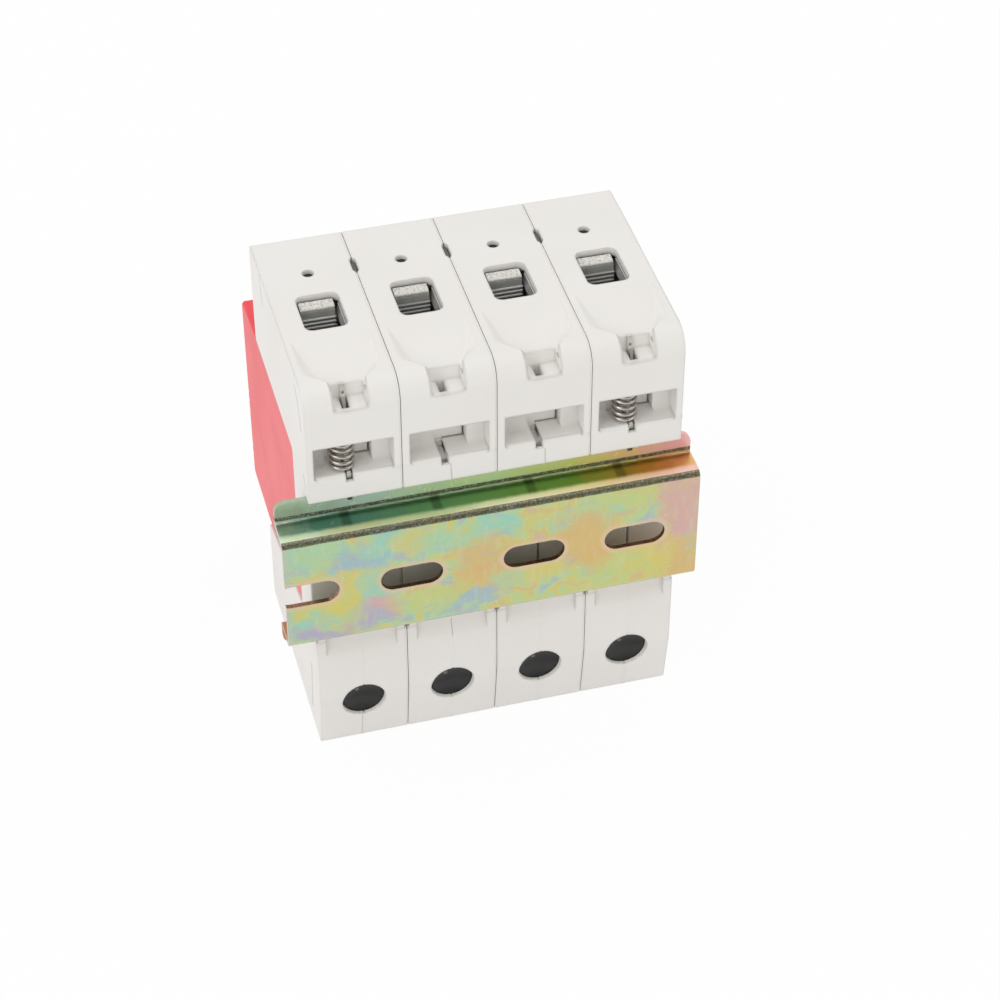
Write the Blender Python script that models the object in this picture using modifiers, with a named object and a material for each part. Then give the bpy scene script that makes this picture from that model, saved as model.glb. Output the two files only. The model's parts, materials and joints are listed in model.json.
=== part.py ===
# Four-pole plug-in cartridge base, clipped on a short slotted top-hat rail and standing on its lower end.
import math

import bmesh
import bpy
from mathutils import Matrix, Vector

for old in list(bpy.data.objects):
    bpy.data.objects.remove(old, do_unlink=True)

mm = 0.001

# Shared clearances and wall
gap = 0.3 * mm
sliding_gap = 0.5 * mm
wall = 1.7 * mm
edge_break = 0.4 * mm
pole_break = 0.15 * mm
sheet_break = 0.25 * mm
contact_slack = 0.05 * mm

# Poles and base outline, seen from the side: y runs from the rear to the front, z from the lower end up
pole_count = 4
pole_pitch = 18.0 * mm
body_height = 90.0 * mm
body_depth = 49.0 * mm
block_height = 23.0 * mm
plate_front = 14.2 * mm
lower_block_front = 19.0 * mm
lower_block_rear = 27.0 * mm
lower_face_set = 0.6 * mm
tail_set = 2.0 * mm
tail_height = 13.2 * mm
top_bend = 4.5 * mm
front_bend = 1.5 * mm
corner_bend = 0.8 * mm
shoulder_bend = 1.0 * mm
lip_bend = 0.5 * mm
tail_bend = 4.0 * mm

# Rail
rail_width = 35.0 * mm
rail_web = 26.0 * mm
rail_depth = 7.5 * mm
rail_sheet = 1.0 * mm
rail_inner_bend = 0.4 * mm
rail_offset = 2.0 * mm
rail_corner = 2.0 * mm
rail_set = 2.0 * mm
rail_left_out = 6.0 * mm
rail_right_out = 2.5 * mm
slot_length = 12.0 * mm
slot_height = 5.2 * mm
slot_first_centre = 4.3 * mm
slot_near_pitch = 19.9 * mm
slot_far_pitch = 23.8 * mm

# Wire windows, small holes and divider notches of the end faces
window_width = 8.2 * mm
window_rear = 18.8 * mm
window_depth = 10.8 * mm
window_corner = 1.5 * mm
pin_hole_radius = 1.15 * mm
pin_hole_depth = 36.4 * mm
notch_depth = 0.7 * mm
notch_length = 5.2 * mm
notch_height = 7.0 * mm

# Release funnel at the rear of the top face
funnel_front = 16.5 * mm
funnel_rear = 3.3 * mm
funnel_half_width = 7.5 * mm
funnel_drop = 2.4 * mm
funnel_bend = 1.5 * mm
neck_half_width = 3.3 * mm
neck_bend = 0.8 * mm
neck_drop = 4.4 * mm
neck_depth = 4.0 * mm
neck_lean = 0.8 * mm
neck_front_wall = 0.6 * mm
neck_slot_drop = 2.6 * mm

# Spring pocket of the rear face
pocket_half_width = 7.5 * mm
lip_thickness = 5.7 * mm
pocket_height = 7.0 * mm
pocket_depth = 5.9 * mm
pocket_step_depth = 4.0 * mm
pocket_step_width = 3.4 * mm
pocket_lip_bend = 0.55 * mm
slit_width = 0.35 * mm
slit_depth = 1.2 * mm

# Rail latch and its spring
latch_offset = 0.85 * mm
latch_width = 0.9 * mm
latch_sheet = 0.7 * mm
latch_overlap = 1.7 * mm
latch_rise = 2.9 * mm
latch_eye_radius = 0.28 * mm
latch_eye_drop = 1.5 * mm
seat_sheet = 1.2 * mm
spring_offset = 1.8 * mm
spring_axis = 3.1 * mm
spring_diameter = 5.0 * mm
spring_wire = 0.7 * mm
spring_turns = 4.5
points_per_turn = 10

# Lower rear holes with their plugs, and the hook under the rail
rear_hole_radius = 4.4 * mm
rear_hole_height = 11.4 * mm
plug_recess = 2.3 * mm
hook_width = 1.9 * mm
hook_overlap = 1.5 * mm
hook_relief = 1.0 * mm
hook_relief_height = 4.0 * mm

# Terminals: cage, screw and contact strip
screw_inset = 9.5 * mm
screw_radius = 2.5 * mm
screw_head_radius = 3.3 * mm
screw_head_height = 3.0 * mm
screw_slot = 0.9 * mm
cage_height = 11.0 * mm
cage_sheet = 1.0 * mm
cage_side_room = 4.4 * mm
cage_nut = 3.0 * mm
cage_nut_room = 2.2 * mm
cage_travel = 4.0 * mm
cage_bend = 1.2 * mm
nut_bend = 0.8 * mm
cage_inner_bend = 0.5 * mm
strip_sheet = 1.2 * mm
strip_width = 7.4 * mm
strip_top_room = 2.0 * mm
clamp_sheet = 2.9 * mm
clamp_bend = 0.8 * mm
rib_drop = 2.6 * mm
rib_height = 0.5 * mm
rib_pitch = 0.95 * mm
rib_count = 3
strap_width = 4.0 * mm
strap_inset = 18.6 * mm
leaf_sheet = 0.8 * mm
leaf_margin = 1.0 * mm

# Cartridge
cartridge_front = 66.0 * mm
cartridge_top_drop = 2.0 * mm
cartridge_bend = 3.0 * mm
cartridge_wall = 1.7 * mm
cartridge_side_gap = 0.25 * mm
blade_sheet = 1.4 * mm
blade_height = 6.5 * mm
blade_tail = 2.0 * mm
blade_break = 0.3 * mm
carrier_sheet = 1.8 * mm
element_width = 10.0 * mm
element_depth = 26.0 * mm
element_break = 1.2 * mm
element_room = 1.8 * mm
lens_width = 4.6 * mm
lens_height = 5.4 * mm
lens_drop = 8.0 * mm
lens_flange = 1.0 * mm
grip_pitch = 2.4 * mm
grip_depth = 0.7 * mm

# Derived places
half_pole = (pole_pitch - gap) / 2
middle = body_height / 2
rail_height = middle + rail_offset
rail_seat = rail_set + rail_sheet + gap
rail_rear = rail_set + rail_sheet - rail_depth
lip_height = rail_height + rail_width / 2 + gap
hook_height = rail_height - rail_width / 2 - gap
block_floor = body_height - block_height
pocket_floor_height = lip_height + lip_thickness
pocket_roof = pocket_floor_height + pocket_height
far = pole_count * body_height
base_left = -pole_count * pole_pitch / 2
rail_left = base_left - rail_left_out
rail_right = -base_left + rail_right_out
pole_centres = [base_left + pole_pitch * (number + 0.5) for number in range(pole_count)]
latched_poles = (0, pole_count - 1)

parts = bpy.data.collections.new("plug_in_cartridge_base")
tools = bpy.data.collections.new("cutters")
tools.hide_render = True
bpy.context.scene.collection.children.link(parts)
bpy.context.scene.collection.children.link(tools)

# The frame stands on the lower end, with the box of the whole object centred on it.
frame = bpy.data.objects.new("assembly_frame", None)
frame.location = (-(rail_left + rail_right) / 2, -(rail_rear + cartridge_front) / 2, 0)
parts.objects.link(frame)


def tool(name, mesh):
    made = bpy.data.objects.new(name, mesh)
    made.hide_render = True
    made.display_type = "WIRE"
    tools.objects.link(made)
    return made


def box(name, x, y, z):
    shape = bmesh.new()
    size = Matrix.Diagonal((x[1] - x[0], y[1] - y[0], z[1] - z[0], 1))
    centre = Matrix.Translation(((x[0] + x[1]) / 2, (y[0] + y[1]) / 2, (z[0] + z[1]) / 2))
    bmesh.ops.create_cube(shape, size=1, matrix=centre @ size)
    mesh = bpy.data.meshes.new(name)
    shape.to_mesh(mesh)
    shape.free()
    return tool(name, mesh)


def rod(name, axis, centre, radius, span, sides):
    shape = bmesh.new()
    turn = {"Y": Matrix.Rotation(math.radians(90), 4, "X"), "Z": Matrix.Identity(4)}[axis]
    along = (span[0] + span[1]) / 2
    place = {"Y": (centre[0], along, centre[1]), "Z": (centre[0], centre[1], along)}[axis]
    bmesh.ops.create_cone(
        shape,
        cap_ends=True,
        segments=sides,
        radius1=radius,
        radius2=radius,
        depth=span[1] - span[0],
        matrix=Matrix.Translation(place) @ turn,
    )
    mesh = bpy.data.meshes.new(name)
    shape.to_mesh(mesh)
    shape.free()
    return tool(name, mesh)


def rounded(corners, steps):
    points = []
    for number, (first, second, radius) in enumerate(corners):
        here = Vector((first, second))
        if radius == 0:
            points.append(here)
            continue
        back = (Vector(corners[number - 1][:2]) - here).normalized()
        ahead = (Vector(corners[(number + 1) % len(corners)][:2]) - here).normalized()
        half = back.angle(ahead) / 2
        centre = here + (back + ahead).normalized() * radius / math.sin(half)
        start = here + back * radius / math.tan(half) - centre
        end = here + ahead * radius / math.tan(half) - centre
        sweep = start.angle_signed(end)
        for step in range(steps + 1):
            points.append(centre + Matrix.Rotation(-sweep * step / steps, 2) @ start)
    return points


def extruded(name, axis, corners, span, steps=3):
    # The outline lies in y-z for axis X, in x-z for axis Y and in x-y for axis Z.
    curve = bpy.data.curves.new(name, "CURVE")
    curve.dimensions = "2D"
    curve.fill_mode = "BOTH"
    curve.extrude = (span[1] - span[0]) / 2
    outline = rounded(corners, steps)
    spline = curve.splines.new("POLY")
    spline.points.add(len(outline) - 1)
    for point, place in zip(spline.points, outline):
        point.co = (place.x, place.y, 0, 1)
    spline.use_cyclic_u = True
    drawn = bpy.data.objects.new(name, curve)
    tools.objects.link(drawn)
    bpy.context.view_layer.update()
    mesh = bpy.data.meshes.new_from_object(drawn.evaluated_get(bpy.context.evaluated_depsgraph_get()))
    bpy.data.objects.remove(drawn, do_unlink=True)
    turn = {
        "X": Matrix.Rotation(math.radians(90), 4, "Z") @ Matrix.Rotation(math.radians(90), 4, "X"),
        "Y": Matrix.Rotation(math.radians(90), 4, "X"),
        "Z": Matrix.Identity(4),
    }[axis]
    along = (span[0] + span[1]) / 2
    shift = {"X": (along, 0, 0), "Y": (0, along, 0), "Z": (0, 0, along)}[axis]
    mesh.transform(Matrix.Translation(shift) @ turn)
    shape = bmesh.new()
    shape.from_mesh(mesh)
    bmesh.ops.remove_doubles(shape, verts=shape.verts, dist=1e-7)
    bmesh.ops.recalc_face_normals(shape, faces=shape.faces)
    shape.to_mesh(mesh)
    shape.free()
    return tool(name, mesh)


def soften(target, width):
    bevel = target.modifiers.new("edge break", "BEVEL")
    bevel.width = width
    bevel.segments = 1
    bevel.limit_method = "ANGLE"
    bevel.angle_limit = math.radians(50)


def soften_sides(target, width, half):
    # Only the outlines of the two side faces, at half to the left and right, get their edges broken.
    shape = bmesh.new()
    shape.from_mesh(target.data)
    bmesh.ops.dissolve_limit(shape, angle_limit=math.radians(1), verts=shape.verts, edges=shape.edges)
    weight = shape.edges.layers.float.new("bevel_weight_edge")
    for edge in shape.edges:
        ends = [end.co.x for end in edge.verts]
        on_side = ends[0] * ends[1] > 0 and min(abs(end) for end in ends) > half - gap / 10
        edge[weight] = 1.0 if on_side else 0.0
    shape.to_mesh(target.data)
    shape.free()
    bevel = target.modifiers.new("edge break", "BEVEL")
    bevel.width = width
    bevel.segments = 1
    bevel.limit_method = "WEIGHT"
    bevel.use_clamp_overlap = False


def combine(target, operation, *others):
    for other in others:
        step = target.modifiers.new(other.name, "BOOLEAN")
        step.operation = operation
        step.solver = "EXACT"
        step.object = other


def baked(target):
    bpy.context.view_layer.update()
    return bpy.data.meshes.new_from_object(target.evaluated_get(bpy.context.evaluated_depsgraph_get()))


def mirrored(mesh):
    # The lower terminal is the upper one turned over about the middle of the base.
    copy = mesh.copy()
    copy.transform(Matrix.Translation((0, 0, body_height)) @ Matrix.Scale(-1, 4, (0, 0, 1)))
    copy.flip_normals()
    return copy


def place(name, mesh, where, colour, roughness, metallic):
    made = bpy.data.objects.new(name, mesh.copy())
    finish = bpy.data.materials.new(name + "_finish")
    finish.use_nodes = True
    shader = finish.node_tree.nodes["Principled BSDF"]
    shader.inputs["Base Color"].default_value = (*colour, 1)
    shader.inputs["Roughness"].default_value = roughness
    shader.inputs["Metallic"].default_value = metallic
    made.data.materials.clear()
    made.data.materials.append(finish)
    made.location = where
    made.parent = frame
    parts.objects.link(made)
    return made


# One pole of the base: a C-shaped side outline, hollow, later parted into housing and cover
lower_slope = (lower_block_rear - lower_block_front) / (body_depth - plate_front)
lower_face = lower_face_set
tail = lower_face_set + tail_set
pole = extruded(
    "pole_body",
    "X",
    [
        (tail, 0, corner_bend),
        (body_depth, 0, front_bend),
        (body_depth, lower_block_front, shoulder_bend),
        (plate_front, lower_block_rear, corner_bend),
        (plate_front, block_floor, corner_bend),
        (body_depth, block_floor, shoulder_bend),
        (body_depth, body_height, front_bend),
        (0, body_height, top_bend),
        (0, lip_height, lip_bend),
        (rail_seat, lip_height, 0),
        (rail_seat, hook_height, 0),
        (lower_face, hook_height, lip_bend),
        (lower_face, tail_height, tail_bend),
    ],
    (-half_pole, half_pole),
    4,
)
soften_sides(pole, pole_break, half_pole)
pole = tool("pole_softened", baked(pole))

room = half_pole - wall
cavity_rear = pocket_depth + wall
room_rear = cavity_rear + contact_slack
funnel_roof = body_height - neck_drop - wall
upper_room = extruded(
    "upper_room",
    "X",
    [
        (room_rear, block_floor + wall, 0),
        (body_depth - wall, block_floor + wall, 0),
        (body_depth - wall, body_height - wall, 0),
        (funnel_front + wall / 2, body_height - wall, 0),
        (funnel_front - wall, funnel_roof, 0),
        (room_rear, funnel_roof, 0),
    ],
    (-room, room),
)
lower_room = extruded(
    "lower_room",
    "X",
    [
        (tail + wall + sliding_gap, wall, 0),
        (body_depth - wall, wall, 0),
        (body_depth - wall, lower_block_front + lower_slope * wall - wall, 0),
        (plate_front - wall, lower_block_rear - wall + lower_slope * wall, 0),
        (tail + wall + sliding_gap, lower_block_rear - wall + lower_slope * wall, 0),
    ],
    (-room, room),
)

# Chambers for the contact leaves, and the slits through which the blades reach them
leaf_rear = cavity_rear + gap
leaf_front = plate_front - wall - gap
leaf_inner = blade_sheet / 2 + gap + contact_slack
leaf_outer = leaf_inner + leaf_sheet
cart_rear = plate_front + sliding_gap
cart_top = block_floor - sliding_gap
cart_low_front = lower_block_front + sliding_gap
cart_low_rear = lower_block_rear + sliding_gap
carrier_low = cart_low_rear + cartridge_wall + lower_slope * wall + gap
carrier_high = cart_top - cartridge_wall - gap
element_half = min(middle - carrier_low, carrier_high - middle) - element_room
blade_centre = element_half - blade_height / 2
leaf_end = middle + blade_centre - blade_height / 2 - leaf_margin
chamber_side = strap_width / 2 + 2 * sliding_gap
chamber_y = (cavity_rear, plate_front - wall - contact_slack)
upper_chamber = box(
    "upper_chamber",
    (-chamber_side, chamber_side),
    chamber_y,
    (leaf_end - sliding_gap, block_floor + 2 * wall),
)
lower_chamber = box(
    "lower_chamber",
    (-chamber_side, chamber_side),
    chamber_y,
    (lower_block_rear - 2 * wall, body_height - leaf_end + sliding_gap),
)
slit_side = blade_sheet / 2 + gap
slit_half = blade_height / 2 + sliding_gap
upper_slit = box(
    "upper_slit",
    (-slit_side, slit_side),
    (plate_front - 1.5 * wall, plate_front + wall),
    (middle + blade_centre - slit_half, middle + blade_centre + slit_half),
)
lower_slit = box(
    "lower_slit",
    (-slit_side, slit_side),
    (plate_front - 1.5 * wall, plate_front + wall),
    (middle - blade_centre - slit_half, middle - blade_centre + slit_half),
)


def window(name, span):
    half = window_width / 2
    front = window_rear + window_depth
    return extruded(
        name,
        "Z",
        [
            (-half, window_rear, window_corner),
            (half, window_rear, window_corner),
            (half, front, window_corner),
            (-half, front, window_corner),
        ],
        span,
    )


upper_window = window("upper_window", (body_height - 2 * wall, body_height + wall))
lower_window = window("lower_window", (-wall, 2 * wall))
pin_hole = rod(
    "pin_hole", "Z", (0, pin_hole_depth), pin_hole_radius, (body_height - 2 * wall, body_height + wall), 16
)
upper_access = rod(
    "upper_access",
    "Y",
    (0, body_height - screw_inset),
    screw_head_radius - gap,
    (body_depth - 2 * wall, body_depth + wall),
    20,
)
lower_access = rod(
    "lower_access",
    "Y",
    (0, screw_inset),
    screw_head_radius - gap,
    (body_depth - 2 * wall, body_depth + wall),
    20,
)


def side_notch(name, side):
    inner = side * (half_pole - notch_depth)
    outer = side * (half_pole + wall)
    centre = pin_hole_depth + sliding_gap
    return extruded(
        name,
        "Z",
        [
            (outer, centre - notch_length / 2 - wall, 0),
            (outer, centre + notch_length / 2 + wall, 0),
            (inner, centre + notch_length / 2 - notch_depth, 0),
            (inner, centre - notch_length / 2 + notch_depth, 0),
        ],
        (body_height - notch_height, body_height + wall),
    )


# The funnel is a sloping basin that narrows to a neck over the rear bend.
funnel = extruded(
    "funnel",
    "X",
    [
        (2 * funnel_front - funnel_rear, body_height + funnel_drop, 0),
        (funnel_rear, body_height - funnel_drop, 0),
        (-wall, body_height - funnel_drop, 0),
        (-wall, body_height + funnel_drop, 0),
    ],
    (-half_pole, half_pole),
)
funnel_plan = extruded(
    "funnel_plan",
    "Z",
    [
        (-funnel_half_width, funnel_front + wall, 0),
        (-funnel_half_width, 2 * funnel_rear, funnel_bend),
        (-neck_half_width, funnel_rear, neck_bend),
        (-neck_half_width, 0.6 * funnel_rear, 0),
        (neck_half_width, 0.6 * funnel_rear, 0),
        (neck_half_width, funnel_rear, neck_bend),
        (funnel_half_width - sliding_gap, 2 * funnel_rear, funnel_bend),
        (funnel_half_width, funnel_front + wall, 0),
    ],
    (body_height - 2 * funnel_drop, body_height + 2 * wall),
)
combine(funnel, "INTERSECT", funnel_plan)
funnel = tool("funnel_basin", baked(funnel))
neck_floor = body_height - neck_drop
neck_top = body_height - funnel_drop + gap
neck = extruded(
    "neck",
    "X",
    [
        (neck_depth + neck_lean, neck_top, 0),
        (neck_depth, neck_floor, 0),
        (edge_break, neck_floor, 0),
        (-edge_break, neck_floor - edge_break, 0),
        (-wall, neck_floor - edge_break, 0),
        (-wall, body_height + wall, 0),
        (neck_depth + neck_lean, body_height + wall, 0),
    ],
    (-neck_half_width + gap / 2, neck_half_width - gap / 2),
)
latch_left = -latch_offset - latch_width / 2
latch_right = -latch_offset + latch_width / 2
neck_slot = box(
    "neck_slot",
    (latch_left - gap, latch_right + gap),
    (neck_front_wall, neck_depth - gap / 2),
    (neck_floor - neck_slot_drop, neck_floor + sliding_gap),
)

# The pocket holds the latch spring; a narrow slit parts it from a shallower step on its right.
step_left = pocket_half_width - pocket_step_width
pocket = extruded(
    "pocket",
    "Z",
    [
        (-pocket_half_width, -wall, 0),
        (-pocket_half_width, pocket_depth, 0),
        (step_left - slit_width, pocket_depth, 0),
        (step_left - slit_width, pocket_depth + slit_depth, 0),
        (step_left, pocket_depth + slit_depth, 0),
        (step_left, pocket_step_depth, 0),
        (pocket_half_width, pocket_step_depth, 0),
        (pocket_half_width, -wall, 0),
    ],
    (pocket_floor_height, pocket_roof),
)
pocket_lip = extruded(
    "pocket_lip",
    "X",
    [
        (pocket_lip_bend + gap, pocket_floor_height + gap, 0),
        (-gap, pocket_floor_height - pocket_lip_bend - gap, 0),
        (-gap, pocket_floor_height + gap, 0),
    ],
    (-pocket_half_width + gap, pocket_half_width - gap),
)
seat_top = pocket_floor_height - gap / 2
leg_front = rail_set - gap
leg_rear = leg_front - latch_sheet
latch_slot = box(
    "latch_slot",
    (latch_left - gap, latch_right + gap),
    (-wall, pocket_depth - gap),
    (seat_top - seat_sheet - gap, pocket_floor_height + gap),
)
leg_channel = box(
    "leg_channel",
    (latch_left - gap, latch_right + gap),
    (leg_rear - gap, leg_front + gap),
    (lip_height - wall, pocket_floor_height),
)
rod_channel = box(
    "rod_channel",
    (latch_left - gap, latch_right + gap),
    (spring_axis - latch_sheet / 2 - gap, spring_axis + latch_sheet / 2 + gap),
    (pocket_roof - wall, neck_floor),
)

# The lower rear face carries the round hole and the relief between the two hook ribs.
rear_hole = rod(
    "rear_hole", "Y", (0, rear_hole_height), rear_hole_radius, (-wall, tail + 2 * wall + sliding_gap), 32
)
hook_inner = half_pole - hook_width
relief_low = hook_height - hook_relief_height
hook_relief_cut = extruded(
    "hook_relief_cut",
    "X",
    [
        (lower_face - hook_relief, relief_low - 2 * hook_relief, 0),
        (lower_face + hook_relief, relief_low + 2 * hook_relief, 0),
        (lower_face + hook_relief, hook_height + hook_overlap + wall, 0),
        (lower_face - hook_relief, hook_height + hook_overlap + wall, 0),
    ],
    (-hook_inner, hook_inner),
)
hooks = []
for side in (-1, 1):
    ends = sorted((side * (hook_inner - gap), side * (half_pole - pole_break - gap / 2)))
    hooks.append(
        box(
            "hook_rib_left" if side < 0 else "hook_rib_right",
            ends,
            (lower_face + pole_break, rail_set - gap),
            (hook_height - 2 * wall, rail_height - rail_width / 2 + hook_overlap),
        )
    )

combine(pole, "UNION", *hooks)
combine(
    pole,
    "DIFFERENCE",
    upper_room,
    lower_room,
    upper_chamber,
    lower_chamber,
    upper_slit,
    lower_slit,
    upper_window,
    lower_window,
    pin_hole,
    upper_access,
    lower_access,
    side_notch("left_notch", -1),
    side_notch("right_notch", 1),
    funnel,
    neck,
    neck_slot,
    pocket,
    pocket_lip,
    latch_slot,
    leg_channel,
    rod_channel,
    rear_hole,
    hook_relief_cut,
)
shell = baked(pole)
housing = tool("housing", shell.copy())
combine(
    housing,
    "DIFFERENCE",
    box("cover_zone", (-gap / 2, far), (-far, far), (-far, pocket_floor_height + gap / 2)),
)
cover = tool("cover", shell.copy())
combine(
    cover,
    "INTERSECT",
    box("cover_keep", (gap / 2, far), (-far, far), (-far, pocket_floor_height - gap / 2)),
)
housing_mesh = baked(housing)
cover_mesh = baked(cover)

# Terminal cage: a rectangular ring round the wire, drawn to the front by its screw
window_front = window_rear + window_depth
strip_front = window_front - gap
strip_rear = strip_front - clamp_sheet
cage_rear = window_rear - cage_sheet - sliding_gap
nut_rear = strip_front + cage_nut_room
nut_front = nut_rear + cage_nut
cage_outer = cage_side_room + cage_sheet
screw_height = body_height - screw_inset
cage_span = (screw_height - cage_height / 2, screw_height + cage_height / 2)
cage = extruded(
    "cage",
    "Z",
    [
        (-cage_outer, cage_rear, cage_bend),
        (cage_outer, cage_rear, cage_bend),
        (cage_outer, nut_front, nut_bend),
        (-cage_outer, nut_front, nut_bend),
    ],
    cage_span,
)
cage_inside = extruded(
    "cage_inside",
    "Z",
    [
        (-cage_side_room, cage_rear + cage_sheet, cage_inner_bend),
        (cage_side_room, cage_rear + cage_sheet, cage_inner_bend),
        (cage_side_room, nut_rear, 0),
        (-cage_side_room, nut_rear, 0),
    ],
    (cage_span[0] - wall, cage_span[1] + wall),
)
cage_thread = rod(
    "cage_thread", "Y", (0, screw_height), screw_radius + gap, (nut_rear - wall, nut_front + wall), 20
)
combine(cage, "DIFFERENCE", cage_inside, cage_thread)
cage_mesh = baked(cage)

# Terminal screw, modelled about its own axis with the head's underside at its origin
tip_room = gap
head_rear = nut_front + cage_travel + 2 * sliding_gap
shank = rod("screw", "Y", (0, 0), screw_radius, (strip_front + tip_room - head_rear, wall / 2), 20)
head = rod("screw_head", "Y", (0, 0), screw_head_radius, (0, screw_head_height), 20)
slot_depth = screw_head_height * 0.45
slot_far_end = screw_head_height + wall
slot_across = box(
    "screw_slot_across",
    (-screw_head_radius * 0.72, screw_head_radius * 0.72),
    (screw_head_height - slot_depth, slot_far_end),
    (-screw_slot / 2, screw_slot / 2),
)
slot_upright = box(
    "screw_slot_upright",
    (-screw_slot / 2, screw_slot / 2),
    (screw_head_height - slot_depth * 0.9, slot_far_end),
    (-screw_head_radius * 0.6, screw_head_radius * 0.6),
)
combine(shank, "UNION", head)
combine(shank, "DIFFERENCE", slot_across, slot_upright)
screw_mesh = baked(shank)

# Contact strip: ribbed clamping plate inside the cage, strap, and two leaves for the blade
strap_low = body_height - strap_inset - strip_sheet
strap_high = body_height - strap_inset
strip_top = body_height - strip_top_room
contact = extruded(
    "contact",
    "X",
    [
        (strip_rear, strap_low, 0),
        (strip_front, strap_low, 0),
        (strip_front, strip_top, sheet_break),
        (strip_rear, strip_top, clamp_bend),
    ],
    (-strip_width / 2 - gap, strip_width / 2 - gap),
)
contact_strap = box(
    "contact_strap",
    (-strap_width / 2, strap_width / 2),
    (leaf_rear, strip_front - gap / 3),
    (strap_low, strap_high),
)
leaves = []
for side in (-1, 1):
    ends = sorted((side * leaf_inner, side * leaf_outer))
    leaves.append(
        box(
            "leaf_left" if side < 0 else "leaf_right",
            ends,
            (leaf_rear + gap / 3, leaf_front),
            (leaf_end, strap_high - gap / 3),
        )
    )
ribs = []
for number in range(rib_count):
    rib_middle = strip_top - rib_drop - number * rib_pitch
    ribs.append(
        extruded(
            "rib_" + str(number + 1),
            "X",
            [
                (strip_rear + gap, rib_middle - rib_pitch * 0.4, 0),
                (strip_rear + gap, rib_middle + rib_pitch * 0.4, 0),
                (strip_rear - rib_height, rib_middle + rib_pitch * 0.15, 0),
                (strip_rear - rib_height, rib_middle - rib_pitch * 0.15, 0),
            ],
            (-strip_width / 2, strip_width / 2 - 2 * gap),
        )
    )
combine(contact, "UNION", contact_strap, *leaves, *ribs)
contact_mesh = baked(contact)

# Rear plug: a boss in the round hole and a flange behind the wall
plug_front = tail + wall + sliding_gap + gap
plug = rod(
    "rear_plug",
    "Y",
    (0, rear_hole_height),
    rear_hole_radius - gap,
    (plug_recess, plug_front + wall / 2),
    28,
)
plug_flange = rod(
    "plug_flange",
    "Y",
    (0, rear_hole_height),
    rear_hole_radius + 2 * gap,
    (plug_front, plug_front + wall),
    28,
)
combine(plug, "UNION", plug_flange)
plug_mesh = baked(plug)

# Latch: strip through the spring, leaning back to an eye at the top, with a seat under the spring and a claw
strip_low = spring_axis - latch_sheet / 2
strip_high = spring_axis + latch_sheet / 2
latch_bend = neck_floor - sliding_gap
latch_top = neck_floor + latch_rise
latch_lean = (latch_top - latch_bend) * neck_lean / (neck_top - neck_floor)
latch = extruded(
    "latch",
    "X",
    [
        (strip_low, seat_top - seat_sheet / 2, 0),
        (strip_high, seat_top - seat_sheet / 2, 0),
        (strip_high, latch_bend, 0),
        (strip_high + latch_lean, latch_top, 0),
        (strip_low + latch_lean, latch_top, 0),
        (strip_low, latch_bend, 0),
    ],
    (latch_left, latch_right),
)
latch_seat = box(
    "latch_seat",
    (latch_left + gap / 3, latch_right - gap / 3),
    (leg_rear + gap / 3, spring_axis + spring_diameter / 2 - gap),
    (seat_top - seat_sheet, seat_top),
)
latch_leg = box(
    "latch_leg",
    (latch_left, latch_right),
    (leg_rear, leg_front),
    (rail_height + rail_width / 2 - latch_overlap, seat_top - seat_sheet / 3),
)
latch_eye = rod(
    "latch_eye",
    "Y",
    (-latch_offset, latch_top - latch_eye_drop),
    latch_eye_radius,
    (strip_low - wall, strip_high + latch_lean + wall),
    12,
)
combine(latch, "UNION", latch_seat, latch_leg)
combine(latch, "DIFFERENCE", latch_eye)
latch_mesh = baked(latch)

# Latch spring: one wire wound between the seat and the roof of the pocket
coil_radius = (spring_diameter - spring_wire) / 2
coil_low = gap + spring_wire / 2
coil_high = pocket_roof - seat_top - gap - spring_wire / 2
coil_points = int(spring_turns * points_per_turn) + 1
coil_line = []
for number in range(coil_points):
    turned = 2 * math.pi * number / points_per_turn
    rise = coil_low + (coil_high - coil_low) * number / (coil_points - 1)
    coil_line.append(Vector((coil_radius * math.cos(turned), coil_radius * math.sin(turned), rise)))
wire = bpy.data.curves.new("coil", "CURVE")
wire.dimensions = "3D"
wire.bevel_depth = spring_wire / 2
wire.bevel_resolution = 1
wire.use_fill_caps = True
wound = wire.splines.new("POLY")
wound.points.add(coil_points - 1)
for point, spot in zip(wound.points, coil_line):
    point.co = (*spot, 1)
coil_drawn = bpy.data.objects.new("coil_drawn", wire)
tools.objects.link(coil_drawn)
coil_mesh = baked(coil_drawn)
bpy.data.objects.remove(coil_drawn, do_unlink=True)
coil_shape = bmesh.new()
coil_shape.from_mesh(coil_mesh)
bmesh.ops.remove_doubles(coil_shape, verts=coil_shape.verts, dist=1e-7)
bmesh.ops.recalc_face_normals(coil_shape, faces=coil_shape.faces)
coil_shape.to_mesh(coil_mesh)
coil_shape.free()
least = min(
    (one - other).length
    for place_one, one in enumerate(coil_line)
    for place_other, other in enumerate(coil_line)
    if place_other - place_one > points_per_turn // 2
)
print("least gap between curls in mm", round((least - spring_wire) / mm, 3))

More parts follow.
